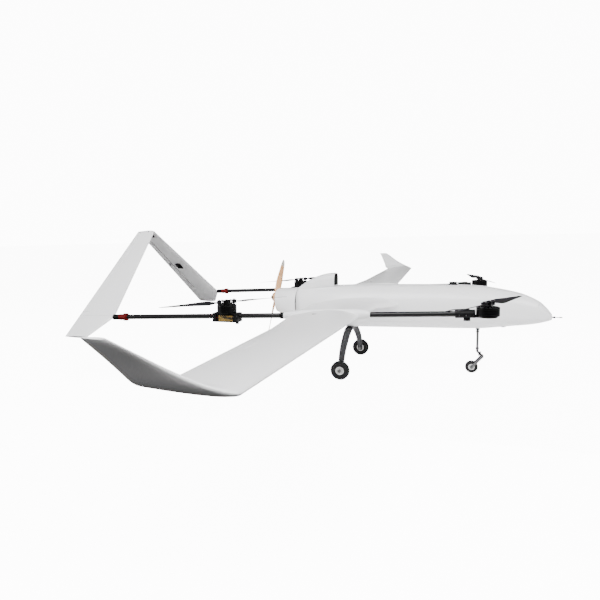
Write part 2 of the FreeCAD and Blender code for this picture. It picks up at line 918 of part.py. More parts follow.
def make_tail(servos):
    socket = tail_socket()
    servo = tail_servo()
    servos.append(servo)
    upper = tail_panel_blank().cut(socket).cut(servo)
    upper, ruddervator = split_control(upper, ruddervator_inner, ruddervator_outer(),
                                       ruddervator_hinge_point, tail_normal())
    fin_top = tail_span() + tail_seam_gap
    fin = biggest(loft([tail_wire(fin_top), tail_wire(tail_table()[-1][0])], True).cut(socket))
    save("tail_sockets", socket, mirrored(socket))
    save("ventral_fins", fin, mirrored(fin))
    for side, place in (("left", Part.Shape.copy), ("right", mirrored)):
        save("tail_panel_" + side, place(upper))
        save("ruddervator_" + side, place(ruddervator))
    make_peak_joint(upper)


def make_peak_joint(panel):
    """The bracket under the peak that bolts the two tail panels together."""
    half = peak_bracket_half_width
    drop = half * math.tan(tail_angle())
    high = tail_peak_height
    low = tail_peak_height - peak_bracket_depth
    lead, trail = tail_peak_edges
    x = x_of(grown(lead, trail, peak_bracket_share))
    points = [V(x, 0, high), V(x, half, high - drop), V(x, half, low - drop), V(x, 0, low),
              V(x, -half, low - drop), V(x, -half, high - drop)]
    bracket = prism(points, FORE * peak_bracket_length).cut(panel).cut(mirrored(panel))
    lowest = min(bracket.Solids, key=lambda solid: solid.CenterOfMass.z)
    save("tail_peak_joint", lowest)


# ---------------------------------------------------------------- lift motors
def motor_places():
    """Name, station, side and base height of each lift motor."""
    for end, station, base in (("front", front_motor_station, front_motor_base),
                               ("rear", rear_motor_station, rear_motor_base)):
        for side, sign in (("left", 1), ("right", -1)):
            yield end + "_" + side, V(x_of(station), sign * boom_spacing, base)


def lift(z):
    return UP * z


def make_stator(base):
    foot = can_gap + stator_foot
    top = can_gap + can_height - can_wall - can_lid_gap
    stator = rod(base, base + lift(foot), stator_base_radius)
    stator = stator.fuse(rod(base + lift(foot), base + lift(top), stator_radius))
    bore = rod(base + lift(foot), base + lift(top + 1), motor_shaft_radius + shaft_clearance)
    return stator.cut(bore)


def blade_plane(base):
    """Centre of the blade plane above a motor's base."""
    return base + lift(can_gap + can_height + rotor_rise)


def make_rotor(base, angle):
    """Bell, shaft and the two grip plates that hold the folding blades' pivot bolts."""
    can_top = base + lift(can_gap + can_height)
    bell = rod(base + lift(can_gap), can_top, can_radius)
    bell = bell.cut(rod(base + lift(can_gap - 1), can_top - lift(can_wall), can_radius - can_wall))
    bell = bell.fuse(rod(base + lift(shaft_foot), can_top, motor_shaft_radius))
    centre = blade_plane(base)
    turn = math.radians(angle)
    along = V(math.cos(turn), math.sin(turn), 0)
    across = V(-math.sin(turn), math.cos(turn), 0)
    inner = eye_height / 2 + eye_gap
    rotor = bell.fuse(rod(can_top, centre + lift(inner + grip_thickness), hub_radius))
    for low in (-inner - grip_thickness, inner):
        half = along * fold_radius
        wide = across * (grip_width / 2)
        level = centre + lift(low)
        corners = [level - half - wide, level + half - wide,
                   level + half + wide, level - half + wide]
        rotor = rotor.fuse(prism(corners, lift(grip_thickness)))
        for sign in (-1, 1):
            end = level + half * sign
            rotor = rotor.fuse(rod(end, end + lift(grip_thickness), grip_width / 2))
    for sign in (-1, 1):
        pivot = centre + along * (fold_radius * sign)
        top = pivot + lift(inner + grip_thickness)
        bottom = pivot - lift(inner + grip_thickness)
        rotor = rotor.fuse(rod(bottom, top, pivot_radius))
        rotor = rotor.fuse(rod(top, top + lift(pivot_head_height), pivot_head_radius))
    return biggest(rotor.removeSplitter())


def make_blade(base, angle):
    """One folding blade with the round eye at its root."""
    centre = blade_plane(base)
    turn = math.radians(angle)
    along = V(math.cos(turn), math.sin(turn), 0)
    across = V(-math.sin(turn), math.cos(turn), 0)
    pivot = centre + along * fold_radius
    eye = rod(pivot - lift(eye_height / 2), pivot + lift(eye_height / 2), eye_radius)
    wires = []
    for share, chord, pitch, thick in lift_blade_sections:
        distance = grown(fold_radius, lift_radius, share)
        wires.append(blade_section(distance, chord, pitch, thick, along, across, UP, centre))
    blade = eye.fuse(loft(wires))
    hole = rod(pivot - lift(eye_height), pivot + lift(eye_height), pivot_radius + pivot_clearance)
    return biggest(blade.cut(hole))


def make_lift_units():
    stators = []
    for name, base in motor_places():
        stators.append(make_stator(base))
        angle = rotor_angles[name]
        save("rotor_" + name, make_rotor(base, angle))
        save("blade_" + name + "_a", make_blade(base, angle))
        save("blade_" + name + "_b", make_blade(base, angle + 180))
    save("motor_stators", *stators)


def make_front_mount():
    """Sleeve on the boom's front end, with the plate that the motor stands on."""
    centre = V(x_of(front_motor_station), boom_spacing, front_motor_base)
    front = front_motor_station + can_radius + can_gap
    low = front_motor_base - mount_plate
    mount = boom_axis(front + sleeve_length, front, sleeve_radius)
    mount = mount.fuse(rod(centre - lift(mount_plate), centre, mount_plate_radius))
    mount = mount.fuse(block(x_of(front + tongue_length), centre.x,
                             boom_spacing - tongue_half_width, boom_spacing + tongue_half_width,
                             low, front_motor_base))
    lug_front, lug_rear = clamp_lug_stations
    lug_top, lug_bottom = clamp_lug_depths
    mount = mount.fuse(block(x_of(front + lug_rear), x_of(front + lug_front),
                             boom_spacing - clamp_lug_half_width, boom_spacing + clamp_lug_half_width,
                             boom_height(front) - lug_bottom, boom_height(front) - lug_top))
    mount = mount.cut(boom_axis(front + sleeve_length + 5, front, boom_radius))
    return biggest(mount)


def make_rear_mount():
    """Open frame clamped round the boom, with the motor on its top plate."""
    centre = V(x_of(rear_motor_station), boom_spacing, rear_motor_base)
    low_x = centre.x - rear_mount_length / 2
    high_x = centre.x + rear_mount_length / 2
    low_y = boom_spacing - rear_mount_half_width
    high_y = boom_spacing + rear_mount_half_width
    bottom = rear_motor_base - rear_mount_depth
    frame = block(low_x, high_x, low_y, high_y, bottom, rear_motor_base)
    window = block(low_x + rear_mount_end, high_x - rear_mount_end, low_y - 1, high_y + 1,
                   bottom + rear_mount_floor, rear_motor_base - mount_plate)
    frame = frame.cut(window)
    frame = frame.fuse(rod(centre - lift(mount_plate), centre, mount_plate_radius))
    length, width, height = rear_lug
    frame = frame.fuse(block(high_x - length, high_x, high_y - width, high_y, bottom - height, bottom))
    boom = boom_axis(rear_motor_station + rear_mount_length, rear_motor_station - rear_mount_length,
                     boom_radius)
    return biggest(frame.cut(boom))


def make_mounts():
    front = make_front_mount()
    rear = make_rear_mount()
    save("front_motor_mounts", front, mirrored(front))
    save("rear_motor_mounts", rear, mirrored(rear))
    length, thickness, height = speed_controller_size
    middle = x_of(rear_motor_station)
    y = boom_spacing + boom_radius + speed_controller_gap
    z = rear_motor_base - rear_mount_depth + rear_mount_floor
    board = block(middle - length / 2, middle + length / 2, y, y + thickness, z, z + height)
    save("speed_controllers", board, mirrored(board))


# ---------------------------------------------------------------- undercarriage
def bow_foot_face():
    """Distance from the centreline to the bow's foot, just inboard of the tyre."""
    return main_track - main_tyre_width / 2 - bow_tyre_gap


def bow_line():
    """Middle line of the main undercarriage bow: distance from the centreline, height."""
    foot = bow_foot_face()
    axle = main_wheel_radius
    return [
        (0, bow_top_height), (45, bow_top_height - 2), (88, bow_top_height - 17),
        (main_track - 81, 133), (main_track - 38, 92), (foot, axle + 8), (foot + 1, axle - 11),
    ]


def make_bow(outer_body):
    half = bow_thickness / 2
    line = bow_line()
    full = [(-y, z) for y, z in reversed(line[1:])] + line

    def side_curve(offset):
        points = []
        for i, (y, z) in enumerate(full):
            before = full[max(0, i - 1)]
            after = full[min(len(full) - 1, i + 1)]
            dy, dz = after[0] - before[0], after[1] - before[1]
            length = math.hypot(dy, dz)
            points.append(V(0, y - dz / length * offset, z + dy / length * offset))
        curve = Part.BSplineCurve()
        curve.interpolate(points)
        return curve.toShape(), points

    upper, upper_points = side_curve(half)
    lower, lower_points = side_curve(-half)
    ends = [Part.makeLine(upper_points[i], lower_points[i]) for i in (0, -1)]
    outline = Part.Wire(Part.__sortEdges__([upper, ends[0], lower, ends[1]]))
    width = bow_root_width
    band = Part.Face(outline).extrude(FORE * width)
    band.translate(FORE * (x_of(main_wheel_station) - width / 2))
    middle = x_of(main_wheel_station)
    top, foot = bow_root_width / 2, bow_foot_width / 2
    taper = prism([V(middle - top, -300, 210), V(middle + top, -300, 210),
                   V(middle + foot, -300, 20), V(middle - foot, -300, 20)], PORT * 600)
    bow = band.common(taper).cut(outer_body)
    axle = across_axis(V(middle, 0, main_wheel_radius), main_track, main_axle_radius)
    save("main_gear_bow", biggest(bow.cut(axle)))


def tyre(centre, axis, radius, rim_radius, width):
    half = width / 2
    shoulder = radius - half * 0.55
    outline = [
        (rim_radius, -half * 0.78), (shoulder - half * 0.3, -half), (shoulder, -half * 0.94),
        (radius - half * 0.16, -half * 0.62), (radius, -half * 0.25), (radius, half * 0.25),
        (radius - half * 0.16, half * 0.62), (shoulder, half * 0.94), (shoulder - half * 0.3, half),
        (rim_radius, half * 0.78),
    ]
    return turned(outline, centre, axis)


def rim(centre, axis, rim_radius, width, bore):
    half = width / 2
    hub = half * rim_share
    outline = [
        (bore, -hub), (rim_radius * 0.42, -hub), (rim_radius * 0.5, -half * 0.35),
        (rim_radius * 0.82, -half * 0.35), (rim_radius * 0.86, -half * 0.78), (rim_radius, -half * 0.78),
        (rim_radius, half * 0.78), (rim_radius * 0.86, half * 0.78), (rim_radius * 0.82, half * 0.35),
        (rim_radius * 0.5, half * 0.35), (rim_radius * 0.42, hub), (bore, hub),
    ]
    return turned(outline, centre, axis)


def make_main_gear(outer_body):
    make_bow(outer_body)
    centre = V(x_of(main_wheel_station), main_track, main_wheel_radius)
    wheel = rim(centre, PORT, main_rim_radius, main_tyre_width, main_axle_radius + running_clearance)
    rubber = tyre(centre, PORT, main_wheel_radius, main_rim_radius, main_tyre_width)
    nut = V(centre.x, bow_foot_face() - bow_thickness / 2 - 1 - axle_nut_length, centre.z)
    head = V(centre.x, main_track + main_tyre_width * rim_share / 2 + axle_end_play, centre.z)
    bolt = rod(nut, head + PORT * axle_head_length, main_axle_radius)
    bolt = bolt.fuse(rod(nut, nut + PORT * axle_nut_length, axle_head_radius))
    bolt = bolt.fuse(rod(head, head + PORT * axle_head_length, axle_head_radius))
    save("main_axles", bolt, mirrored(bolt))
    for side, place in (("left", Part.Shape.copy), ("right", mirrored)):
        save("main_wheel_" + side, place(wheel))
        save("main_tyre_" + side, place(rubber))


def across_axis(centre, reach, radius):
    """A round bar from side to side, through a point on the centreline."""
    return rod(centre - PORT * reach, centre + PORT * reach, radius)


def make_nose_strut(knee, pin_reach):
    foot = V(x_of(nose_strut_station), 0, nose_strut_bottom)
    top = V(foot.x, 0, tray_height + nose_strut_above_tray)
    collar = V(foot.x, 0, faired(body_sections, nose_strut_station, 2) - nose_collar_drop)
    strut = rod(foot, top, nose_strut_radius)
    strut = strut.fuse(Part.makeSphere(nose_strut_radius, foot))
    strut = strut.fuse(rod(foot, knee, nose_strut_radius))
    strut = strut.fuse(across_axis(knee, knee_half_width, knee_radius))
    collar_top = collar + lift(nose_collar_length)
    strut = strut.fuse(rod(collar, collar_top, nose_strut_radius + nose_collar_rim))
    strut = strut.cut(across_axis(knee, pin_reach, knee_pin_radius + running_clearance))
    save("nose_strut", biggest(strut.removeSplitter()))


def make_nose_link(knee, axle, pin_reach):
    """The trailing fork: two arms on a knee pin, with the nose wheel's axle."""
    along = axle.sub(knee)
    along.normalize()
    across = V(along.z, 0, -along.x) * (link_arm_height / 2)
    link = across_axis(knee, pin_reach, knee_pin_radius)
    for sign in (-1, 1):
        near = PORT * (sign * (pin_reach - 1))
        thick = PORT * (sign * link_arm_thickness)
        corners = [knee - across, axle - across, axle + across, knee + across]
        link = link.fuse(prism([corner + near for corner in corners], thick))
        for end in (knee, axle):
            link = link.fuse(rod(end + near, end + near + thick, link_arm_height / 2 + link_end_rim))
    link = link.fuse(across_axis(axle, pin_reach, nose_axle_radius))
    save("nose_link", biggest(link.removeSplitter()))


def make_nose_gear():
    knee = V(x_of(knee_station), 0, knee_height)
    axle = V(x_of(nose_wheel_station), 0, nose_wheel_radius)
    pin_reach = nose_tyre_width / 2 + link_arm_gap + 1
    bore = nose_axle_radius + running_clearance
    make_nose_strut(knee, pin_reach)
    make_nose_link(knee, axle, pin_reach)
    save("nose_wheel", rim(axle, PORT, nose_rim_radius, nose_tyre_width, bore))
    save("nose_tyre", tyre(axle, PORT, nose_wheel_radius, nose_rim_radius, nose_tyre_width))


# ---------------------------------------------------------------- the whole aircraft
def main():
    os.makedirs("parts", exist_ok=True)
    outer_body = body_solid()
    inner_body = body_solid(skin)
    servos = []
    make_fuselage(outer_body, inner_body)
    make_payload_bay(inner_body)
    make_top_antenna(outer_body)
    save("pitot_tube", biggest(make_pitot().cut(outer_body)))
    make_firewall(inner_body)
    make_engine()
    make_cowl()
    make_scoop(outer_body)
    make_pusher()
    make_wing(outer_body, servos)
    make_winglets()
    make_booms()
    make_tail(servos)
    save("control_servos", *(servos + [mirrored(servo) for servo in servos]))
    make_lift_units()
    make_mounts()
    make_main_gear(outer_body)
    make_nose_gear()


main()
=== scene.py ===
import json
import math

import bmesh
import bpy
from mathutils import Matrix, Vector


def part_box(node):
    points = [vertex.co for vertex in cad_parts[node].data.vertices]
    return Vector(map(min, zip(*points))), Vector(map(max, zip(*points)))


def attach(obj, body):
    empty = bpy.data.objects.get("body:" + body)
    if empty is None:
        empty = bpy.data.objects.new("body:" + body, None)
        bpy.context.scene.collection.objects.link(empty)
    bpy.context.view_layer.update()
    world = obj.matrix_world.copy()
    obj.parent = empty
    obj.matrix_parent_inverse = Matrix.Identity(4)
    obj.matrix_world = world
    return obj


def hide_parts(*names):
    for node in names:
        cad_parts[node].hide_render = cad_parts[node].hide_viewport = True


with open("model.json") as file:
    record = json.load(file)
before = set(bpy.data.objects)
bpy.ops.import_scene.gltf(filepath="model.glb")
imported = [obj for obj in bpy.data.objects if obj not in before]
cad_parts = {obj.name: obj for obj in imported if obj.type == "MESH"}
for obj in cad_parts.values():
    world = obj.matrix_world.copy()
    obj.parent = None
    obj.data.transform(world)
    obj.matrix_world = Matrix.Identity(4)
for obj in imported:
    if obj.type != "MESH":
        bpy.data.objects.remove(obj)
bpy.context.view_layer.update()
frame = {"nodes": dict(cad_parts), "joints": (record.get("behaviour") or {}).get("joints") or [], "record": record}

NODES = frame["nodes"]
JOINTS = {joint["name"]: joint for joint in frame["joints"]}
UP = Vector((0, 0, 1))
PORT = Vector((0, 1, 0))
FORE = Vector((1, 0, 0))
MM = 0.001
PLANE_ABOVE_BASE = 43     # lift blades above their motor's base, mm
BOOM_OUT = 0.495          # boom axis from the centreline
TAIL_PEAK = 0.650         # height where the tail panels meet
TAIL_FOOT = 0.288
WING_ROOT = 0.304
DIHEDRAL = math.radians(1.7)
FLOOR_GLOW = 11.0
BOUNCE_GLOW = 0.95


def joint_place(name):
    """Where a joint's axis passes, in metres."""
    return Vector(JOINTS[name]["pos_m"])


# ---------------------------------------------------------------- camera, floor and light
def make_camera():
    yaw, pitch, roll = math.radians(17.41), math.radians(7.255), math.radians(-1.2927)
    level = Vector((math.cos(yaw), math.sin(yaw), 0))
    ahead = Vector((-math.sin(yaw) * math.cos(pitch), math.cos(yaw) * math.cos(pitch), -math.sin(pitch)))
    above = level.cross(ahead)
    right = level * math.cos(roll) + above * math.sin(roll)
    upward = above * math.cos(roll) - level * math.sin(roll)
    data = bpy.data.cameras.new("camera")
    data.sensor_width = 36
    data.lens = 31.34
    data.clip_start = 0.05
    data.clip_end = 200
    camera = bpy.data.objects.new("camera", data)
    bpy.context.scene.collection.objects.link(camera)
    camera.matrix_world = Matrix.Translation((0.60607, -2.35464, 0.62266)) @ Matrix(
        (right, upward, -ahead)).transposed().to_4x4()
    bpy.context.scene.camera = camera


def plain_mesh(name, corners, faces, strength):
    """A glowing white surface that is part of the studio."""
    mesh = bpy.data.meshes.new(name)
    mesh.from_pydata(corners, [], faces)
    made = bpy.data.objects.new(name, mesh)
    bpy.context.scene.collection.objects.link(made)
    paint = Paint(name, (0.8, 0.8, 0.8), 0.9)
    paint.set("Emission Color", (1, 1, 1, 1))
    paint.set("Emission Strength", strength)
    mesh.materials.append(paint.material)
    return made


def make_floor():
    """One plain pale floor, lit evenly all over."""
    corners = [(-60, -60, 0), (60, -60, 0), (60, 60, 0), (-60, 60, 0)]
    floor = plain_mesh("floor", corners, [(0, 1, 2, 3)], FLOOR_GLOW)
    floor.visible_diffuse = False
    floor.visible_glossy = False


def make_backdrop():
    """White wall all round, standing on the floor's edge and closed above."""
    count = 32
    rings = ((58, -0.5), (58, 20), (45, 40), (20, 52))
    corners = [(r * math.cos(2 * math.pi * k / count), r * math.sin(2 * math.pi * k / count), z)
               for r, z in rings for k in range(count)] + [(0, 0, 56)]
    faces = []
    for k in range(count):
        n = (k + 1) % count
        faces += [(i * count + k, i * count + n, (i + 1) * count + n, (i + 1) * count + k) for i in range(3)]
        faces.append((3 * count + k, 3 * count + n, 4 * count))
    wall = plain_mesh("backdrop", corners, faces, FLOOR_GLOW * 1.1)
    wall.visible_diffuse = False
    wall.visible_glossy = False
    wall.visible_shadow = False
    wall.visible_transmission = False


def make_bounce_card():
    """Soft light from below, as from the pale floor under the aircraft."""
    x0, x1, y0, y1 = -0.74, 1.4, -0.8, 0.9
    corners = [(x0, y0, 0.001), (x1, y0, 0.001), (x1, y1, 0.001), (x0, y1, 0.001)]
    card = plain_mesh("bounce_card", corners, [(0, 1, 2, 3)], BOUNCE_GLOW)
    card.visible_camera = False
    card.visible_shadow = False


def make_light(name, place, target, size, power):
    data = bpy.data.lights.new(name, "AREA")
    data.shape = "RECTANGLE"
    data.size, data.size_y = size
    data.energy = power
    lamp = bpy.data.objects.new(name, data)
    bpy.context.scene.collection.objects.link(lamp)
    aim = (Vector(target) - Vector(place)).to_track_quat("-Z", "Y")
    lamp.matrix_world = Matrix.Translation(place) @ aim.to_matrix().to_4x4()


def make_world():
    """Soft light from above and round the horizon, and almost none from below."""
    world = bpy.data.worlds.new("studio")
    bpy.context.scene.world = world
    world.use_nodes = True
    tree = world.node_tree
    background = tree.nodes["Background"]
    direction = tree.nodes.new("ShaderNodeTexCoord")
    split = tree.nodes.new("ShaderNodeSeparateXYZ")
    height = tree.nodes.new("ShaderNodeMapRange")
    height.inputs["From Min"].default_value = -1
    ramp = tree.nodes.new("ShaderNodeValToRGB")
    stops = ramp.color_ramp.elements
    for i, (place, level) in enumerate(((0.30, 0.03), (0.36, 0.25), (0.52, 0.5), (0.60, 0.29))):
        stop = stops[i] if i < 2 else stops.new(place)
        stop.position = place
        stop.color = (level, level, level, 1)
    tree.links.new(direction.outputs["Generated"], split.inputs[0])
    tree.links.new(split.outputs["Z"], height.inputs["Value"])
    tree.links.new(height.outputs["Result"], ramp.inputs["Fac"])
    tree.links.new(ramp.outputs["Color"], background.inputs["Color"])
    background.inputs["Strength"].default_value = 1.0


# ---------------------------------------------------------------- materials
class Paint:
    """One procedural material: a Principled shader and the nodes that drive it."""

    def __init__(self, name, colour, roughness, metallic=0.0, coat=0.0, coat_roughness=0.1, specular=0.5):
        self.material = bpy.data.materials.new(name)
        self.material.use_nodes = True
        self.tree = self.material.node_tree
        self.shader = self.tree.nodes["Principled BSDF"]
        self.colour = colour
        self.set("Base Color", (*colour, 1))
        self.set("Roughness", roughness)
        self.set("Metallic", metallic)
        self.set("Coat Weight", coat)
        self.set("Coat Roughness", coat_roughness)
        self.set("Specular IOR Level", specular)
        self.normal = None

    def set(self, socket, value):
        self.shader.inputs[socket].default_value = value

    def node(self, kind, **settings):
        made = self.tree.nodes.new("ShaderNode" + kind)
        for name, value in settings.items():
            if isinstance(value, tuple) and name in made.inputs:
                made.inputs[name].default_value = value
            else:
                setattr(made, name, value)
        return made

    def feed(self, socket, source):
        """A socket takes a node's output or a number."""
        if isinstance(source, bpy.types.NodeSocket):
            self.tree.links.new(source, socket)
        else:
            socket.default_value = source

    def place(self):
        """Position on the part, in metres, moving with it."""
        return self.node("TexCoord").outputs["Object"]

    def axes(self):
        split = self.node("SeparateXYZ")
        self.feed(split.inputs[0], self.place())
        return split.outputs

    def math(self, kind, *values):
        made = self.node("Math", operation=kind)
        for socket, value in zip(made.inputs, values):
            self.feed(socket, value)
        return made.outputs[0]

    def stretched(self, scale):
        made = self.node("Mapping")
        self.feed(made.inputs["Vector"], self.place())
        made.inputs["Scale"].default_value = scale
        return made.outputs[0]

    def noise(self, scale, detail=2.0, roughness=0.5, along=None):
        made = self.node("TexNoise")
        self.feed(made.inputs["Vector"], along if along is not None else self.place())
        made.inputs["Scale"].default_value = scale
        made.inputs["Detail"].default_value = detail
        made.inputs["Roughness"].default_value = roughness
        return made.outputs["Fac"]

    def ranged(self, source, low, high, new_low=0.0, new_high=1.0):
        made = self.node("MapRange")
        for name, value in (("Value", source), ("From Min", low), ("From Max", high),
                            ("To Min", new_low), ("To Max", new_high)):
            self.feed(made.inputs[name], value)
        return made.outputs[0]

    def mix(self, factor, first, second):
        made = self.node("Mix", data_type="RGBA")
        self.feed(made.inputs[0], factor)
        for socket, colour in ((made.inputs[6], first), (made.inputs[7], second)):
            self.feed(socket, (*colour, 1) if isinstance(colour, tuple) else colour)
        return made.outputs[2]

    def shade(self, colour=None, roughness=None):
        if colour is not None:
            self.feed(self.shader.inputs["Base Color"], colour)
        if roughness is not None:
            self.feed(self.shader.inputs["Roughness"], roughness)

    def bump(self, height, distance, strength=1.0):
        made = self.node("Bump")
        made.inputs["Strength"].default_value = strength
        made.inputs["Distance"].default_value = distance
        self.feed(made.inputs["Height"], height)
        if self.normal is not None:
            self.feed(made.inputs["Normal"], self.normal)
        self.normal = made.outputs[0]
        self.feed(self.shader.inputs["Normal"], self.normal)

    def grained(self, grain, dark, light, smooth, dull, depth, strength):
        """Colour, roughness and relief that all follow one grain."""
        self.shade(self.mix(grain, dark, light), self.ranged(grain, 0.3, 0.7, smooth, dull))
        self.bump(grain, depth, strength)

    def mottled(self, amount, scale, low_rough, high_rough, tint=None):
        """Colour and roughness that wander a little over the surface."""
        drift = self.noise(scale, 4.0, 0.6)
        darker = tuple(c * (1 - amount) for c in (tint or self.colour))
        self.shade(self.mix(drift, darker, self.colour),
                   self.ranged(self.noise(scale * 3.7, 3.0), 0.3, 0.7, low_rough, high_rough))

    def weave(self, u, v, tow, dark, light, smooth, dull, depth):
        """Two-by-two twill of carbon tows, on two lengths over the surface, with the over-tows painted paler as a
        painted sheen.
        """
        across = self.math("DIVIDE", u, tow)
        along = self.math("DIVIDE", v, tow)
        step = self.math("ADD", self.math("FLOOR", across), self.math("FLOOR", along))
        over = self.math("LESS_THAN", self.math("FLOORED_MODULO", step, 4.0), 2.0)
        round_u = self.math("ABSOLUTE", self.math("SINE", self.math("MULTIPLY", across, math.pi)))
        round_v = self.math("ABSOLUTE", self.math("SINE", self.math("MULTIPLY", along, math.pi)))
        height = self.node("Mix")
        self.feed(height.inputs[0], over)
        self.feed(height.inputs[2], round_u)
        self.feed(height.inputs[3], round_v)
        wander = self.noise(900, 2.0)
        # The twill is real; the paler colour on the over-tows is painted sheen standing in for their directional
        # highlight.
        painted_sheen_cells = self.math("MULTIPLY", over, self.ranged(wander, 0.3, 0.7, 0.6, 1.0))
        self.shade(self.mix(painted_sheen_cells, dark, light),
                   self.ranged(over, 0.0, 1.0, smooth, dull))
        self.bump(height.outputs[0], depth)


def white_shell():
    paint = Paint("white_shell", (0.83, 0.83, 0.84), 0.34, coat=0.25, coat_roughness=0.18)
    paint.mottled(0.03, 2.2, 0.30, 0.40)
    paint.bump(paint.noise(260, 2.0), 0.00012, 0.35)
    paint.bump(paint.noise(7, 1.0), 0.0012, 0.25)
    return paint.material


def carbon_tube():
    paint = Paint("carbon_tube", (0.004, 0.004, 0.0042), 0.3, coat=0.3, coat_roughness=0.1, specular=0.2)
    x, y, z = paint.axes()
    centre = paint.math("ADD", paint.math("MULTIPLY", x, math.tan(math.radians(1.96))), 0.31553)
    sideways = paint.math("SUBTRACT", paint.math("ABSOLUTE", y), BOOM_OUT)
    angle = paint.math("ARCTAN2", sideways, paint.math("SUBTRACT", z, centre))
    round_tube = paint.math("MULTIPLY", angle, 0.01)
    left = paint.math("ADD", x, round_tube)
    right = paint.math("SUBTRACT", x, round_tube)
    paint.weave(left, right, 0.0028, (0.0022, 0.0022, 0.0024), (0.006, 0.006, 0.0064), 0.28, 0.4, 0.00004)
    return paint.material


def carbon_plate():
    paint = Paint("carbon_plate", (0.004, 0.004, 0.004), 0.45, coat=0.0, coat_roughness=0.3, specular=0.12)
    x, y, z = paint.axes()
    across = paint.math("ADD", paint.math("ABSOLUTE", y), z)
    left = paint.math("ADD", x, across)
    right = paint.math("SUBTRACT", x, across)
    paint.weave(left, right, 0.0026, (0.0025, 0.0025, 0.003), (0.0065, 0.0065, 0.007), 0.45, 0.6, 0.00003)
    return paint.material


def gear_spring():
    """Machined leaf of the main undercarriage, dark with a brushed sheen."""
    paint = Paint("gear_spring", (0.04, 0.04, 0.042), 0.36, metallic=0.7, specular=0.3)
    streak = paint.noise(90, 4.0, 0.6, paint.stretched((9.0, 0.6, 0.6)))
    paint.grained(streak, (0.016, 0.016, 0.018), (0.085, 0.085, 0.09), 0.28, 0.48, 0.0001, 0.5)
    return paint.material


def carbon_blade():
    paint = Paint("carbon_blade", (0.006, 0.006, 0.0065), 0.5, coat=0.0, coat_roughness=0.3, specular=0.18)
    x, y, z = paint.axes()
    paint.weave(paint.math("ADD", x, y), paint.math("SUBTRACT", x, y), 0.0022,
                (0.004, 0.004, 0.0043), (0.011, 0.011, 0.012), 0.5, 0.62, 0.00004)
    return paint.material


def anodised(name, colour, low, high):
    """Anodised aluminium, or bright wire, with fine scratches."""
    paint = Paint(name, colour, 0.35, metallic=0.6, specular=0.15)
    scratch = paint.noise(60, 5.0, 0.7, paint.stretched((1.0, 1.0, 14.0)))
    pale = tuple(min(1.0, c * 1.6 + 0.002) for c in colour)
    paint.shade(paint.mix(paint.ranged(scratch, 0.45, 0.75), colour, pale),
                paint.ranged(scratch, 0.3, 0.7, low, high))
    paint.bump(scratch, 0.00006, 0.6)
    return paint.material


def red_collar():
    """Red anodised aluminium on the tail collars and black on those behind the wing."""
    paint = Paint("red_anodised", (0.13, 0.008, 0.008), 0.35, metallic=0.6, specular=0.2)
    x, y, z = paint.axes()
    scratch = paint.noise(60, 5.0, 0.7, paint.stretched((1.0, 1.0, 14.0)))
    red = paint.mix(scratch, (0.09, 0.005, 0.006), (0.19, 0.013, 0.012))
    paint.shade(paint.mix(paint.ranged(x, -0.5, -0.49), red, (0.004, 0.004, 0.0045)),
                paint.ranged(scratch, 0.3, 0.7, 0.28, 0.42))
    paint.bump(scratch, 0.00006, 0.6)
    return paint.material


def laminations():
    paint = Paint("motor_steel", (0.05, 0.048, 0.046), 0.42, metallic=0.9)
    x, y, z = paint.axes()
    sheet = paint.math("ABSOLUTE", paint.math("SINE", paint.math("MULTIPLY", z, math.pi / 0.00035)))
    paint.shade(paint.mix(sheet, (0.016, 0.0155, 0.015), (0.075, 0.072, 0.07)))
    paint.bump(sheet, 0.0001, 0.8)
    return paint.material


def plastic(name, colour, roughness, grain=700, depth=0.00008, coat=0.0):
    paint = Paint(name, colour, roughness, coat=coat, specular=0.25)
    paint.mottled(0.25, 30, roughness * 0.85, min(1.0, roughness * 1.2))
    paint.bump(paint.noise(grain, 2.0), depth, 0.6)
    return paint.material


def gold_foil():
    paint = Paint("gold_foil", (0.83, 0.58, 0.2), 0.3, metallic=1.0)
    crease = paint.noise(140, 4.0, 0.6)
    paint.grained(crease, (0.62, 0.4, 0.12), (0.95, 0.72, 0.3), 0.2, 0.42, 0.0003, 0.6)
    return paint.material


def blade_length(paint):
    """Distance from the pusher's axis."""
    x, y, z = paint.axes()
    height = paint.math("SUBTRACT", z, joint_place("pusher_spin").z)
    squares = paint.math("ADD", paint.math("MULTIPLY", y, y), paint.math("MULTIPLY", height, height))
    return paint.math("SQRT", squares)


def beech_wood():
    """Varnished laminated beech with pale sheathed tips."""
    paint = Paint("beech_wood", (0.62, 0.33, 0.15), 0.34, coat=0.5, coat_roughness=0.15)
    x, y, z = paint.axes()
    angle = math.radians(38)
    grain_axis = paint.node("VectorRotate", rotation_type="X_AXIS")
    paint.feed(grain_axis.inputs["Vector"], paint.place())
    grain_axis.inputs["Angle"].default_value = angle
    mapped = paint.node("Mapping")
    paint.feed(mapped.inputs["Vector"], grain_axis.outputs[0])
    mapped.inputs["Scale"].default_value = (1.0, 1.0, 0.06)
    fibre = paint.noise(420, 5.0, 0.65, mapped.outputs[0])
    ring = paint.noise(60, 2.0, 0.5, mapped.outputs[0])
    ply = paint.math("ABSOLUTE", paint.math("SINE", paint.math("MULTIPLY", x, math.pi / 0.0032)))
    wood = paint.mix(paint.ranged(fibre, 0.3, 0.7), (0.44, 0.2, 0.075), (0.74, 0.42, 0.2))
    wood = paint.mix(paint.ranged(ring, 0.35, 0.65, 0.0, 0.55), wood, (0.82, 0.5, 0.27))
    wood = paint.mix(paint.ranged(ply, 0.0, 0.12, 0.35, 0.0), wood, (0.25, 0.11, 0.05))
    tip = paint.ranged(blade_length(paint), 0.176, 0.184)
    paint.shade(paint.mix(tip, wood, (0.55, 0.53, 0.48)), paint.ranged(fibre, 0.3, 0.7, 0.28, 0.42))
    paint.bump(fibre, 0.00012, 0.5)
    return paint.material


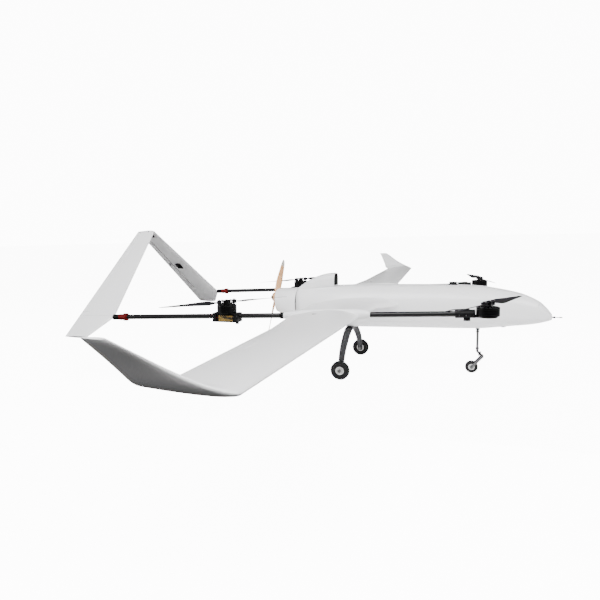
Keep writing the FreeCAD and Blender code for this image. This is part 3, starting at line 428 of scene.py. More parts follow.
def plywood():
    paint = Paint("plywood", (0.62, 0.46, 0.28), 0.6)
    grain = paint.noise(300, 4.0, 0.6, paint.stretched((1.0, 0.08, 1.0)))
    paint.grained(grain, (0.45, 0.3, 0.16), (0.76, 0.6, 0.4), 0.5, 0.75, 0.0002, 0.5)
    return paint.material


def bright_steel():
    colour = (0.13, 0.13, 0.132)
    paint = Paint("steel", colour, 0.26, metallic=1.0)
    scratch = paint.noise(80, 5.0, 0.7, paint.stretched((1.0, 1.0, 0.15)))
    dull = tuple(c * 0.6 for c in colour)
    paint.grained(scratch, dull, colour, 0.2, 0.36, 0.00005, 0.5)
    return paint.material


def cast_alloy():
    paint = Paint("engine_alloy", (0.5, 0.5, 0.51), 0.48, metallic=0.9)
    paint.mottled(0.25, 40, 0.4, 0.62)
    paint.bump(paint.noise(900, 3.0), 0.0002, 0.7)
    return paint.material


def tank_plastic():
    paint = Paint("tank_plastic", (0.82, 0.8, 0.72), 0.45)
    paint.set("Subsurface Weight", 0.25)
    paint.set("Subsurface Scale", 0.01)
    paint.mottled(0.08, 14, 0.38, 0.55)
    paint.bump(paint.noise(500, 2.0), 0.0001, 0.5)
    return paint.material


def rubber():
    paint = Paint("tyre_rubber", (0.006, 0.006, 0.0065), 0.62, specular=0.2)
    dust = paint.noise(45, 5.0, 0.65)
    dusty = paint.ranged(dust, 0.45, 0.8, 0.0, 0.7)
    paint.shade(paint.mix(dusty, (0.005, 0.005, 0.0055), (0.018, 0.0175, 0.017)),
                paint.ranged(dust, 0.3, 0.7, 0.55, 0.78))
    paint.bump(paint.noise(1200, 2.0), 0.00012, 0.6)
    return paint.material


def net_thread():
    paint = Paint("net_thread", (0.008, 0.008, 0.0085), 0.5, specular=0.2)
    strand = paint.noise(1500, 2.0)
    paint.grained(strand, (0.005, 0.005, 0.0055), (0.013, 0.013, 0.014), 0.4, 0.6, 0.0001, 0.5)
    return paint.material


def make_materials():
    made = {
        "white_shell": white_shell(),
        "carbon_tube": carbon_tube(),
        "carbon_plate": carbon_plate(),
        "carbon_blade": carbon_blade(),
        "black_anodised": anodised("black_anodised", (0.003, 0.003, 0.0034), 0.26, 0.42),
        "red_anodised": red_collar(),
        "motor_steel": laminations(),
        "black_plastic": plastic("black_plastic", (0.005, 0.005, 0.0055), 0.45),
        "gold_foil": gold_foil(),
        "beech_wood": beech_wood(),
        "plywood": plywood(),
        "steel": bright_steel(),
        "engine_alloy": cast_alloy(),
        "tank_plastic": tank_plastic(),
        "battery_wrap": plastic("battery_wrap", (0.04, 0.075, 0.17), 0.3, 90, 0.0004, coat=0.3),
        "white_rim": plastic("white_rim", (0.78, 0.78, 0.77), 0.35, 500, 0.00005),
        "tyre_rubber": rubber(),
        "gear_spring": gear_spring(),
        "copper_wire": anodised("copper_wire", (0.22, 0.075, 0.03), 0.3, 0.5),
        "net_thread": net_thread(),
        "red_wire": plastic("red_wire", (0.4, 0.02, 0.02), 0.4),
    }
    return made


def dress_nodes():
    """Every CAD node takes the material of its slot in the record."""
    for row in frame["record"]["subparts"]:
        data = NODES[row["node"]].data
        name = "gear_spring" if row["node"] == "main_gear_bow" else row["material_slot"]
        data.materials.clear()
        data.materials.append(MATERIALS[name])


# ---------------------------------------------------------------- mesh building
def square_to(axis):
    """Two directions square to an axis and to each other."""
    side = axis.cross(UP if abs(axis.z) < 0.9 else FORE).normalized()
    return side, axis.cross(side).normalized()


class Build:
    """A mesh put together from closed parts, each with one material."""

    def __init__(self, mesh=None):
        self.mesh = mesh or bmesh.new()
        self.names = []

    def paint(self, faces, material):
        if material not in self.names:
            self.names.append(material)
        for face in faces:
            face.material_index = self.names.index(material)

    def turned(self, material, outline, centre, axis, segments=48):
        """A closed outline of (radius, distance along the axis) in millimetres, turned round it."""
        axis = Vector(axis).normalized()
        u, v = square_to(axis)
        rings = []
        for k in range(segments):
            turn = 2 * math.pi * k / segments
            spoke = u * math.cos(turn) + v * math.sin(turn)
            rings.append([self.mesh.verts.new(centre + spoke * (r * MM) + axis * (a * MM))
                          for r, a in outline])
        faces = []
        for k, ring in enumerate(rings):
            following = rings[(k + 1) % segments]
            for i in range(len(outline)):
                j = (i + 1) % len(outline)
                if outline[i][0] > 0 or outline[j][0] > 0:
                    faces.append(self.mesh.faces.new((ring[i], ring[j], following[j], following[i])))
        self.paint(faces, material)
        on_axis = [vert for ring in rings for vert, (r, _) in zip(ring, outline) if r == 0]
        if on_axis:
            bmesh.ops.remove_doubles(self.mesh, verts=on_axis, dist=1e-7)

    def plate(self, material, outline, origin, u, v, thickness, bevel=0.0):
        """A flat outline of (u, v) in millimetres, given a thickness along u x v."""
        u, v = Vector(u).normalized(), Vector(v).normalized()
        w = u.cross(v) * (thickness * MM)
        low = [self.mesh.verts.new(origin + u * (a * MM) + v * (b * MM)) for a, b in outline]
        high = [self.mesh.verts.new(vert.co + w) for vert in low]
        faces = [self.mesh.faces.new(list(reversed(low))), self.mesh.faces.new(high)]
        for i in range(len(low)):
            j = (i + 1) % len(low)
            faces.append(self.mesh.faces.new((low[i], low[j], high[j], high[i])))
        self.paint(faces, material)
        if bevel:
            sharp = {edge for face in faces for edge in face.edges if edge.calc_face_angle(0) > 0.5}
            made = bmesh.ops.bevel(self.mesh, geom=list(sharp), offset=bevel * MM, segments=2,
                                   affect="EDGES", profile=0.6, clamp_overlap=True)
            self.paint(made["faces"], material)

    def block(self, material, centre, size, u=FORE, v=PORT, bevel=0.0):
        """A box of (u, v, w) millimetres round its centre."""
        a, b, c = (length / 2 for length in size)
        u, v = Vector(u).normalized(), Vector(v).normalized()
        origin = centre - u.cross(v) * (c * MM)
        self.plate(material, [(-a, -b), (a, -b), (a, b), (-a, b)], origin, u, v, 2 * c, bevel)

    def stadium(self, material, centre, along, half_length, radius, thickness, waist, bevel):
        """A long plate with round ends and a drawn-in middle, lying level."""
        across = UP.cross(along)
        outline = []
        for sign in (1, -1):
            for i in range(13):
                turn = math.pi * (i / 12 - 0.5)
                outline.append((sign * (half_length + radius * math.cos(turn)),
                                sign * radius * math.sin(turn)))
            outline.append((sign * half_length * 0.45, sign * waist))
            outline.append((-sign * half_length * 0.45, sign * waist))
        self.plate(material, outline, centre, along, across, thickness, bevel)

    def tube(self, material, path, radius, segments=10):
        """A round bar that follows points, with its ends closed."""
        path = [Vector(point) for point in path]
        rings = []
        side = None
        for i, point in enumerate(path):
            ahead = (path[min(i + 1, len(path) - 1)] - path[max(i - 1, 0)]).normalized()
            side = square_to(ahead)[0] if side is None else (side - ahead * side.dot(ahead)).normalized()
            other = ahead.cross(side)
            turns = [2 * math.pi * k / segments for k in range(segments)]
            rings.append([self.mesh.verts.new(
                point + (side * math.cos(t) + other * math.sin(t)) * (radius * MM)) for t in turns])
        faces = [self.mesh.faces.new(list(reversed(rings[0]))), self.mesh.faces.new(rings[-1])]
        for ring, following in zip(rings, rings[1:]):
            for k in range(segments):
                n = (k + 1) % segments
                faces.append(self.mesh.faces.new((ring[k], ring[n], following[n], following[k])))
        self.paint(faces, material)

    def screw(self, material, place, axis, radius, height):
        """Socket-head cap screw standing on a face."""
        socket = radius * 0.5
        edge = min(0.35, radius * 0.2)
        outline = [(0, -0.3), (radius, -0.3), (radius, height - edge), (radius - edge, height),
                   (socket, height), (socket, height * 0.4), (0, height * 0.4)]
        self.turned(material, outline, Vector(place), axis, 18)

    def nut(self, material, place, axis, radius, height):
        edge = radius * 0.12
        outline = [(0, 0), (radius - edge, 0), (radius, edge), (radius, height - edge),
                   (radius - edge, height), (0, height)]
        self.turned(material, outline, Vector(place), axis, 6)

    def piece(self, name, body, replaces=(), crease=38):
        bmesh.ops.recalc_face_normals(self.mesh, faces=self.mesh.faces)
        for face in self.mesh.faces:
            face.smooth = True
        for edge in self.mesh.edges:
            edge.smooth = edge.calc_face_angle(0) < math.radians(crease)
        data = bpy.data.meshes.new(name)
        self.mesh.to_mesh(data)
        self.mesh.free()
        for material in self.names:
            data.materials.append(MATERIALS[material])
        made = bpy.data.objects.new(name, data)
        bpy.context.scene.collection.objects.link(made)
        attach(made, body)
        if replaces:
            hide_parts(*replaces)


def smooth_path(points, steps=6):
    """A Catmull-Rom curve through points."""
    points = [Vector(point) for point in points]
    padded = [points[0] * 2 - points[1]] + points + [points[-1] * 2 - points[-2]]
    path = []
    for a, b, c, d in zip(padded, padded[1:], padded[2:], padded[3:]):
        for i in range(steps):
            t = i / steps
            path.append(0.5 * (2 * b + (c - a) * t + (2 * a - 5 * b + 4 * c - d) * t ** 2
                               + (3 * b - a - 3 * c + d) * t ** 3))
    return path + [points[-1]]


def hit(node, start, direction):
    """Where a ray meets a CAD node, and the face's direction there."""
    found, place, normal, _ = NODES[node].ray_cast(Vector(start), Vector(direction))
    if not found:
        raise ValueError("no surface on " + node)
    return place, normal


def along_from(start, *offsets):
    """A start and the points at some offsets from it, in millimetres."""
    return [start] + [start + Vector(offset) * MM for offset in offsets]


def side_name(side):
    return "left" if side > 0 else "right"


def spoke(k, count):
    """Level direction of one of several spread evenly round a circle."""
    return Matrix.Rotation(2 * math.pi * k / count, 3, "Z") @ FORE


def flipped(point, side):
    """A point given for the port side, on the side asked for: 1 port, -1 starboard."""
    return Vector((point[0], point[1] * side, point[2]))


# ---------------------------------------------------------------- lift units
MOTORS = ("front_left", "front_right", "rear_left", "rear_right")


def motor_frame(name):
    """Motor base centre and the direction of its first blade."""
    centre = joint_place("rotor_" + name + "_spin")
    along = (joint_place("blade_" + name + "_a_fold") - centre).normalized()
    return centre - UP * (PLANE_ABOVE_BASE * MM), along


def make_bell(name):
    """Outer bell with its spider and magnets, the blade grips and their bolts."""
    base, along = motor_frame(name)
    centre = base + UP * (PLANE_ABOVE_BASE * MM)
    build = Build()
    wall = [(35.6, 2.0), (37.7, 2.0), (38.5, 2.8), (38.5, 6.6), (37.8, 7.0), (37.8, 8.2), (38.5, 8.6),
            (38.5, 24.6), (37.8, 25.0), (37.8, 26.2), (38.5, 26.6), (38.5, 29.6), (37.9, 31.2),
            (36.4, 32.0), (33.4, 32.0), (33.4, 29.4), (35.6, 29.0)]
    build.turned("black_anodised", wall, base, UP, 96)
    hub = [(4, 28.6), (15.5, 28.6), (16.5, 29.4), (16.5, 31.2), (15.7, 32.0), (4, 32.0)]
    build.turned("black_anodised", hub, base, UP, 64)
    for k in range(10):
        out = spoke(k, 10)
        build.block("black_anodised", base + out * (25.2 * MM) + UP * (30.4 * MM), (18.6, 5.4, 2.6), out,
                    UP.cross(out), 0.7)
    for k in range(28):
        out = spoke(k + 0.5, 28)
        magnet = base + out * (34.7 * MM) + UP * (15.5 * MM)
        build.block("motor_steel", magnet, (2.0, 6.4, 22), out, UP.cross(out), 0.3)
    build.turned("steel", [(0, 4), (4, 4), (4, 33), (0, 33)], base, UP, 24)
    column = [(0, 31.6), (14.5, 31.6), (14.5, 33.4), (12.4, 34.6), (12, 36.0), (12, 49.2), (11.2, 50.0),
              (0, 50.0)]
    build.turned("black_anodised", column, base, UP, 48)
    for low in (-6.85, 4.35):
        build.stadium("black_anodised", centre + UP * (low * MM), along, 31, 10, 2.5, 8.2, 0.5)
    for sign in (1, -1):
        pivot = centre + along * (31 * MM * sign)
        build.turned("steel", [(0, -6.9), (2.4, -6.9), (2.4, 6.9), (0, 6.9)], pivot, UP, 20)
        build.screw("steel", pivot + UP * (6.85 * MM), UP, 4.4, 3.6)
        build.nut("steel", pivot - UP * (9.3 * MM), UP, 4.7, 2.5)
        for side in (1, -1):
            spot = centre + along * (16.5 * MM * sign) + UP.cross(along) * (5.2 * MM * side)
            build.turned("steel", [(0, -4.4), (1.7, -4.4), (1.7, 4.4), (0, 4.4)], spot, UP, 14)
            build.screw("steel", spot + UP * (6.85 * MM), UP, 2.6, 2.2)
    for k in range(4):
        turn = math.pi / 4 + math.pi / 2 * k
        spot = base + Vector((math.cos(turn), math.sin(turn), 0)) * (8 * MM) + UP * (49.85 * MM)
        build.screw("steel", spot, UP, 1.9, 1.6)
    build.nut("black_anodised", base + UP * (49.9 * MM), UP, 4.2, 3.2)
    build.piece("bell_" + name, "rotor_" + name, ("rotor_" + name,))


def make_stators():
    """Feet, lamination stacks and copper windings inside the four bells."""
    build = Build()
    for name in MOTORS:
        base, _ = motor_frame(name)
        foot = [(4.2, 0.0), (26.2, 0.0), (27.0, 0.6), (27.0, 1.8), (25.0, 2.8), (13.5, 3.4), (12.5, 4.6),
                (12.5, 27.0), (4.2, 27.0)]
        build.turned("black_anodised", foot, base, UP, 64)
        build.turned("motor_steel", [(12.5, 7), (20, 7), (20, 25), (12.5, 25)], base, UP, 64)
        for k in range(24):
            out = spoke(k, 24)
            across = UP.cross(out)
            middle = base + UP * (16 * MM)
            build.block("motor_steel", middle + out * (25.9 * MM), (12.4, 2.2, 18), out, across)
            build.block("motor_steel", middle + out * (32.3 * MM), (1.2, 6.8, 18), out, across, 0.3)
            for side in (1, -1):
                build.block("copper_wire", middle + out * (25.8 * MM) + across * (1.75 * MM * side),
                            (9.6, 1.3, 22.4), out, across, 0.55)
            for end in (1, -1):
                build.block("copper_wire", middle + out * (25.8 * MM) + UP * (10.3 * MM * end),
                            (9.6, 3.9, 2.2), out, across, 0.8)
    build.piece("motor_windings", "airframe", ("motor_stators",))


def make_blade_roots():
    """Steel washers on the eye of each blade."""
    for name in MOTORS:
        for tag in "ab":
            build = Build()
            pivot = joint_place("blade_%s_%s_fold" % (name, tag))
            for sign in (1, -1):
                ring = [(2.6, 3.7 * sign), (6.2, 3.7 * sign), (6.2, 4.15 * sign), (2.6, 4.15 * sign)]
                build.turned("steel", ring, pivot, UP, 32)
            build.piece("bush_%s_%s" % (name, tag), "blade_%s_%s" % (name, tag))


# ---------------------------------------------------------------- booms, mounts and wiring
def make_mount_hardware():
    """Screws that hold the motors down and clamp their mounts to the booms."""
    build = Build()
    for name in MOTORS:
        base, _ = motor_frame(name)
        for k in range(4):
            turn = math.pi / 4 + math.pi / 2 * k
            out = Vector((math.cos(turn), math.sin(turn), 0))
            build.screw("steel", base + out * (29.2 * MM), UP, 1.4, 1.4)
        if name.startswith("front"):
            sleeve = Vector((base.x - 70 * MM, base.y, 0.3324))
            for step in (-24, 0, 24):
                for way in (1, -1):
                    spot = sleeve + FORE * (step * MM) + PORT * (14.2 * MM * way)
                    build.screw("steel", spot, PORT * way, 2.2, 1.8)
            lug = Vector((base.x - 67.5 * MM, base.y, 0.3155))
            for step in (-7, 7):
                for way in (1, -1):
                    spot = lug + FORE * (step * MM) + PORT * (7 * MM * way)
                    build.screw("steel", spot, PORT * way, 2.6, 2.6)
        else:
            top = base.z - 1.75 * MM
            for step in (-49, 49):
                for level in (top - 0.010, top - 0.024):
                    for way in (1, -1):
                        spot = Vector((base.x + step * MM, base.y + 22 * MM * way, level))
                        build.screw("steel", spot, PORT * way, 2.0, 1.6)
            for step in (-46, 46):
                for way in (1, -1):
                    spot = Vector((base.x + step * MM, base.y + 15 * MM * way, base.z))
                    build.screw("steel", spot, UP, 2.2, 2.0)
    build.piece("mount_screws", "airframe")


def make_speed_controllers():
    """Finned gold heat sinks with black end blocks and their leads, beside the booms."""
    build = Build()
    for name in ("rear_left", "rear_right"):
        base, _ = motor_frame(name)
        side = 1 if base.y > 0 else -1
        out = PORT * side
        middle = Vector((base.x, base.y + 14 * MM * side, base.z - 20.5 * MM))
        build.block("gold_foil", middle, (62, 22, 4.6), FORE, UP, 0.6)
        for k in range(6):
            fin = middle + out * (3.1 * MM) + UP * ((k - 2.5) * 3.6 * MM)
            build.block("gold_foil", fin, (60, 1.2, 2.6), FORE, UP, 0.3)
        for end in (1, -1):
            build.block("black_plastic", middle + FORE * (33.5 * MM * end), (6, 23.5, 6.4), FORE, UP, 1.0)
        for k in range(3):
            start = base + Vector((-18 + 6 * k, 24 * side, 2.5)) * MM
            path = along_from(start, (0, 5.5 * side, -1.5), (2 + 3 * k, 6.5 * side, -10),
                              (14 + 5 * k, 1.5 * side, -19 - 1.5 * k), (30 + 6 * k, -1.5 * side, -22 + 3 * k))
            path.append(middle + Vector((32, 1.5 * side, -6 + 5 * k)) * MM)
            build.tube("black_plastic", smooth_path(path), 1.5)
        for k, lead in enumerate(("red_wire", "black_plastic")):
            start = middle + Vector((-34, 1.0 * side, 4 - 7 * k)) * MM
            path = along_from(start, (-8, 1.5 * side, 0), (-18, -1 * side, 5 + 5 * k),
                              (-30, -8 * side, 7 + 6 * k), (-36, -12 * side, 7 + 6 * k))
            build.tube(lead, smooth_path(path), 1.4)
    build.piece("speed_controller_sinks", "airframe", ("speed_controllers",))


def make_front_leads():
    """Phase leads from the front motors, along the boom and into it through a grommet."""
    build = Build()
    for name in ("front_left", "front_right"):
        base, _ = motor_frame(name)
        side = 1 if base.y > 0 else -1
        for k in range(3):
            offset = (k - 1) * 3.6
            start = base + Vector((-25, offset * side, 1.4)) * MM
            end = Vector((base.x - 0.142 - 0.006 * k, base.y + offset * 0.4 * side * MM, 0.3382))
            path = [start, start + Vector((-16, 0, 1.5)) * MM, Vector((base.x - 0.060, start.y, 0.3515)),
                    Vector((base.x - 0.095, start.y, 0.3508)), Vector((base.x - 0.122, start.y, 0.3478)), end]
            build.tube("black_plastic", smooth_path(path), 1.5)
        grommet = Vector((base.x - 0.148, base.y, 0.3385))
        build.turned("black_plastic", [(0, -2), (8, -2), (9, 0.2), (8, 1.8), (0, 2.2)], grommet, UP, 32)
    build.piece("front_motor_leads", "airframe")


def make_boom_details():
    """Clamping screws in the boom collars."""
    low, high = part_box("boom_collars")
    build = Build()
    for side in (1, -1):
        for x, z in ((low.x + 0.031, 0.2894), (low.x + 0.006, 0.2886), (high.x - 0.0065, 0.3137)):
            for turn in (30, 150, 270):
                out = Vector((0, math.cos(math.radians(turn)), math.sin(math.radians(turn))))
                reach = 16 if x > low.x + 0.02 and x < 0 and z < 0.29 else 12.5
                spot = Vector((x, BOOM_OUT * side, z)) + out * (reach * MM - 0.0001)
                build.screw("black_anodised", spot, out, 1.7, 0.7)
    build.piece("collar_screws", "airframe")


# ---------------------------------------------------------------- wheels
def tyre_outline(radius, rim, half):
    """Rounded tyre with three grooves and a raised ring on each sidewall."""
    depth = radius - rim
    shares = ((0, 0.55), (0.06, 0.72), (0.2, 0.8), (0.26, 0.9), (0.36, 0.92), (0.42, 0.88), (0.5, 0.97),
              (0.66, 0.99), (0.8, 0.88), (0.92, 0.68))
    side = [(rim + depth * out, half * along) for out, along in shares] + [(radius - 0.35, half * 0.48)]
    tread = []
    for place in (0.34, 0.0):
        tread += [(radius - 0.1, half * (place + 0.075)), (radius - 1.3, half * (place + 0.05)),
                  (radius - 1.3, half * (place - 0.05)), (radius - 0.05, half * (place - 0.075))]
    upper = side + tread[:6]
    lower = [(r, -a) for r, a in reversed(upper)]
    return upper + lower


def make_wheel(name, centre, axis, radius, rim, half, body, nodes, tyre_nodes):
    tyre = Build()
    tyre.turned("tyre_rubber", tyre_outline(radius, rim, half), centre, axis, 96)
    tyre.piece(name + "_tread", body, tyre_nodes)
    hub = Build()
    flange = rim + 1.2
    shares = ((0.3, 0.8), (0.44, 0.8), (0.5, 0.72), (0.54, 0.34), (0.8, 0.3), (0.88, 0.55))
    face = [(rim * out, half * along) for out, along in shares]
    face += [(flange, half * 0.6), (flange, half * 0.6), (rim, half * 0.5)]  # the flange has two rings
    full = face + [(r, -a) for r, a in reversed(face)]
    hub.turned("white_rim", full, centre, axis, 72)
    for sign in (1, -1):
        lip = [(rim * 0.9, half * 0.5 * sign), (flange, half * 0.5 * sign),
               (flange + 0.4, half * 0.66 * sign), (flange, half * 0.78 * sign),
               (rim * 0.94, half * 0.78 * sign)]
        hub.turned("white_rim", lip, centre, axis, 72)
        u, v = square_to(axis)
        for k in range(5):
            turn = 2 * math.pi * k / 5
            out = u * math.cos(turn) + v * math.sin(turn)
            spot = centre + out * (rim * 0.68 * MM) + axis * (half * 0.42 * sign * MM)
            hub.block("white_rim", spot, (rim * 0.42, rim * 0.16, half * 0.22), out, axis.cross(out), 0.3)
            turn += math.pi / 5
            out = u * math.cos(turn) + v * math.sin(turn)
            spot = centre + out * (rim * 0.66 * MM) + axis * (half * 0.31 * sign * MM)
            hub.screw("steel", spot, axis * sign, rim * 0.085, 0.9)
    hub.piece(name + "_hub", body, nodes)


def make_wheels():
    for side in ("left", "right"):
        centre = joint_place("wheel_" + side + "_spin")
        make_wheel("wheel_" + side, centre, PORT, 40.8, 16.5, 13.5, "wheel_" + side,
                   ("main_wheel_" + side,), ("main_tyre_" + side,))
    make_wheel("nose_roller", joint_place("nose_wheel_spin"), PORT, 27.2, 11.8, 10.0, "nose_roller",
               ("nose_wheel",), ("nose_tyre",))


def make_axle_details():
    """Hexagon heads and nuts on the wheel axles and the knee pin."""
    build = Build()
    for side in (1, -1):
        centre = flipped(joint_place("wheel_left_spin"), side)
        out = PORT * side
        build.nut("steel", centre + out * (15.5 * MM), out, 6.4, 3.4)
        build.turned("steel", [(0, 15), (3.4, 15), (3.4, 20.6), (2.8, 21.2), (0, 21.2)], centre, out, 24)
    build.piece("main_axle_nuts", "airframe")
    arm = Build()
    for joint in ("nose_suspension", "nose_wheel_spin"):
        place = joint_place(joint)
        for way in (1, -1):
            arm.nut("steel", place + PORT * (15 * MM * way), PORT * way, 4.4, 2.8)
    arm.piece("nose_arm_nuts", "nose_arm")
    leg = Build()
    foot = joint_place("nose_steer")
    for level in (0.012, 0.086):
        leg.turned("steel", [(5.4, -3), (7.2, -3), (7.7, -2.4), (7.7, 2.4), (7.2, 3), (5.4, 3)],
                   foot + UP * level, UP, 40)
        leg.screw("black_anodised", foot + UP * level + PORT * (-7.6 * MM), -PORT, 1.6, 1.0)
    knee = joint_place("nose_suspension")
    for k in range(5):
        ring = knee + (foot - knee) * 0.5 + UP * ((k - 2) * 2.4 * MM)
        leg.turned("black_anodised", [(5.7, -0.6), (8.2, -0.6), (8.7, 0), (8.2, 0.6), (5.7, 0.6)], ring,
                   (foot - knee).normalized(), 32)
    leg.piece("nose_leg_rings", "nose_leg")


# ---------------------------------------------------------------- fuselage details
def make_scoop_net():
    """Woven net across the mouth of the air scoop, on a black frame, with a dark sheet behind it as painted shade.
    """
    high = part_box("air_scoop")[1]
    mouth_x = high.x - 0.0025
    top = high.z - 0.0032
    half_width = 0.0395
    middle = (top + 0.365) / 2
    half_height = top - middle
    deck = 0.3835

    def inside(y, z):
        return abs(y / half_width) ** 3 + abs((z - middle) / half_height) ** 3 < 1 and z > deck

    build = Build()
    pitch = 0.0032
    steps = 160
    for upright in (True, False):
        for k in range(-14, 15):
            fixed = k * pitch if upright else middle + k * pitch
            run = []
            for i in range(steps + 1):
                free = (middle - 0.05 + 0.1 * i / steps) if upright else (-0.045 + 0.09 * i / steps)
                y, z = (fixed, free) if upright else (free, fixed)
                if inside(y, z):
                    wave = math.cos(math.pi * (free - (middle if upright else 0)) / pitch + math.pi * k)
                    lift = 0.0005 * wave * (1 if upright else -1)
                    run.append(Vector((mouth_x + lift, y, z)))
            if len(run) > 3:
                build.tube("net_thread", run[::2], 0.62, 5)
    frame_path = []
    count = 64
    for i in range(count + 1):
        angle = 2 * math.pi * i / count
        c, s = math.cos(angle), math.sin(angle)
        y = math.copysign(half_width * abs(c) ** (2 / 3), c)
        z = middle + math.copysign(half_height * abs(s) ** (2 / 3), s)
        frame_path.append(Vector((mouth_x, y, max(z, deck))))
    build.tube("black_plastic", frame_path, 1.5, 8)
    # A dark sheet 6 mm behind the net closes the scoop: painted shade for the shaded duct inside.
    shade_sheet_outline = [(point.y / MM, (point.z - middle) / MM) for point in frame_path[:-1]]
    build.plate("net_thread", shade_sheet_outline, Vector((mouth_x - 0.006, 0, middle)), PORT, UP, 1.0)
    build.piece("scoop_net", "airframe")


def make_fuselage_fittings():
    """Hatch screws, belly sensor, antenna case and the pitot tube's collar."""
    build = Build()
    for station_x in (0.84, 0.77, 0.70, 0.63):
        for side in (1, -1):
            share = (0.9005 - station_x) / (0.9005 - 0.5945)
            z = 0.299 + 0.058 * share + 0.0085
            place, normal = hit("nose_hatch", (station_x, 0.3 * side, z), (0, -side, 0))
            build.screw("white_rim", place, normal, 2.3, 0.35)
    build.piece("hatch_screws", "hatch")
    build = Build()
    place, normal = hit("fuselage_shell", (0.7735, 0.0, 0.1), (0, 0, 1))
    dome = [(0, -1), (13, -1), (13, 0.6), (11.5, 2.2), (8, 3.6), (4, 4.4), (0, 4.7)]
    build.turned("black_plastic", dome, place, normal, 40)
    build.turned("steel", [(0, 4), (3, 4), (3, 5.2), (2.2, 5.6), (0, 5.6)], place, normal, 24)
    for x in (0.40, 0.30, 0.20):
        place, normal = hit("fuselage_shell", (x, 0.0, 0.1), (0, 0, 1))
        build.turned("black_plastic", [(0, -1), (6, -1), (6, 0.5), (5, 0.9), (0, 0.9)], place, normal, 28)
    build.piece("belly_fittings", "airframe")
    low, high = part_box("top_antenna")
    build = Build()
    middle = (low + high) / 2
    build.block("black_plastic", Vector((middle.x, 0, high.z - 0.0055)), (32, 32, 11), FORE, PORT, 3.2)
    build.block("black_plastic", Vector((middle.x, 0, high.z - 0.0120)), (38, 38, 5), FORE, PORT, 1.2)
    for step_x in (-1, 1):
        for step_y in (-1, 1):
            spot = Vector((middle.x + 0.0168 * step_x, 0.0168 * step_y, high.z - 0.0096))
            build.screw("steel", spot, UP, 1.3, 0.7)
    build.piece("antenna_case", "airframe", ("top_antenna",))
    low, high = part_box("pitot_tube")
    build = Build()
    tip = Vector((high.x, (low.y + high.y) / 2, (low.z + high.z) / 2))
    nose = [(1.3, -0.2), (1.9, -1.2), (2.5, -3.4), (2.5, -12), (1.9, -13), (1.3, -13)]
    build.turned("black_anodised", nose, tip, FORE, 24)
    build.turned("steel", [(3.3, -33), (4.6, -33), (4.6, -28.6), (3.8, -27.6), (1.7, -27.6)], tip, FORE, 28)
    build.piece("pitot_collar", "airframe")


def make_tail_and_wing_fittings():
    """Bolts on top of the tail's peak and latch plates let into the wing."""
    build = Build()
    for side in (1, -1):
        for share in (0.3, 0.82):
            x = -0.9045 - 0.096 * share
            place, normal = hit("tail_panel_" + side_name(side), (x, 0.010 * side, 0.72), (0, 0, -1))
            build.screw("black_anodised", place, normal, 2.6, 1.8)
    build.piece("tail_peak_bolts", "airframe")
    build = Build()
    for side in (1, -1):
        place, normal = hit("wing_" + side_name(side), (0.1115, 0.6 * side, 0.5), (0, 0, -1))
        across = normal.cross(FORE).normalized()
        build.block("black_plastic", place + normal * (-0.2 * MM), (22, 7, 1.2), FORE, across, 0.4)
        for step in (-1, 1):
            build.screw("steel", place + FORE * (0.0085 * step) + normal * (0.35 * MM), normal, 1.2, 0.4)
    build.piece("wing_lock_plates", "airframe")


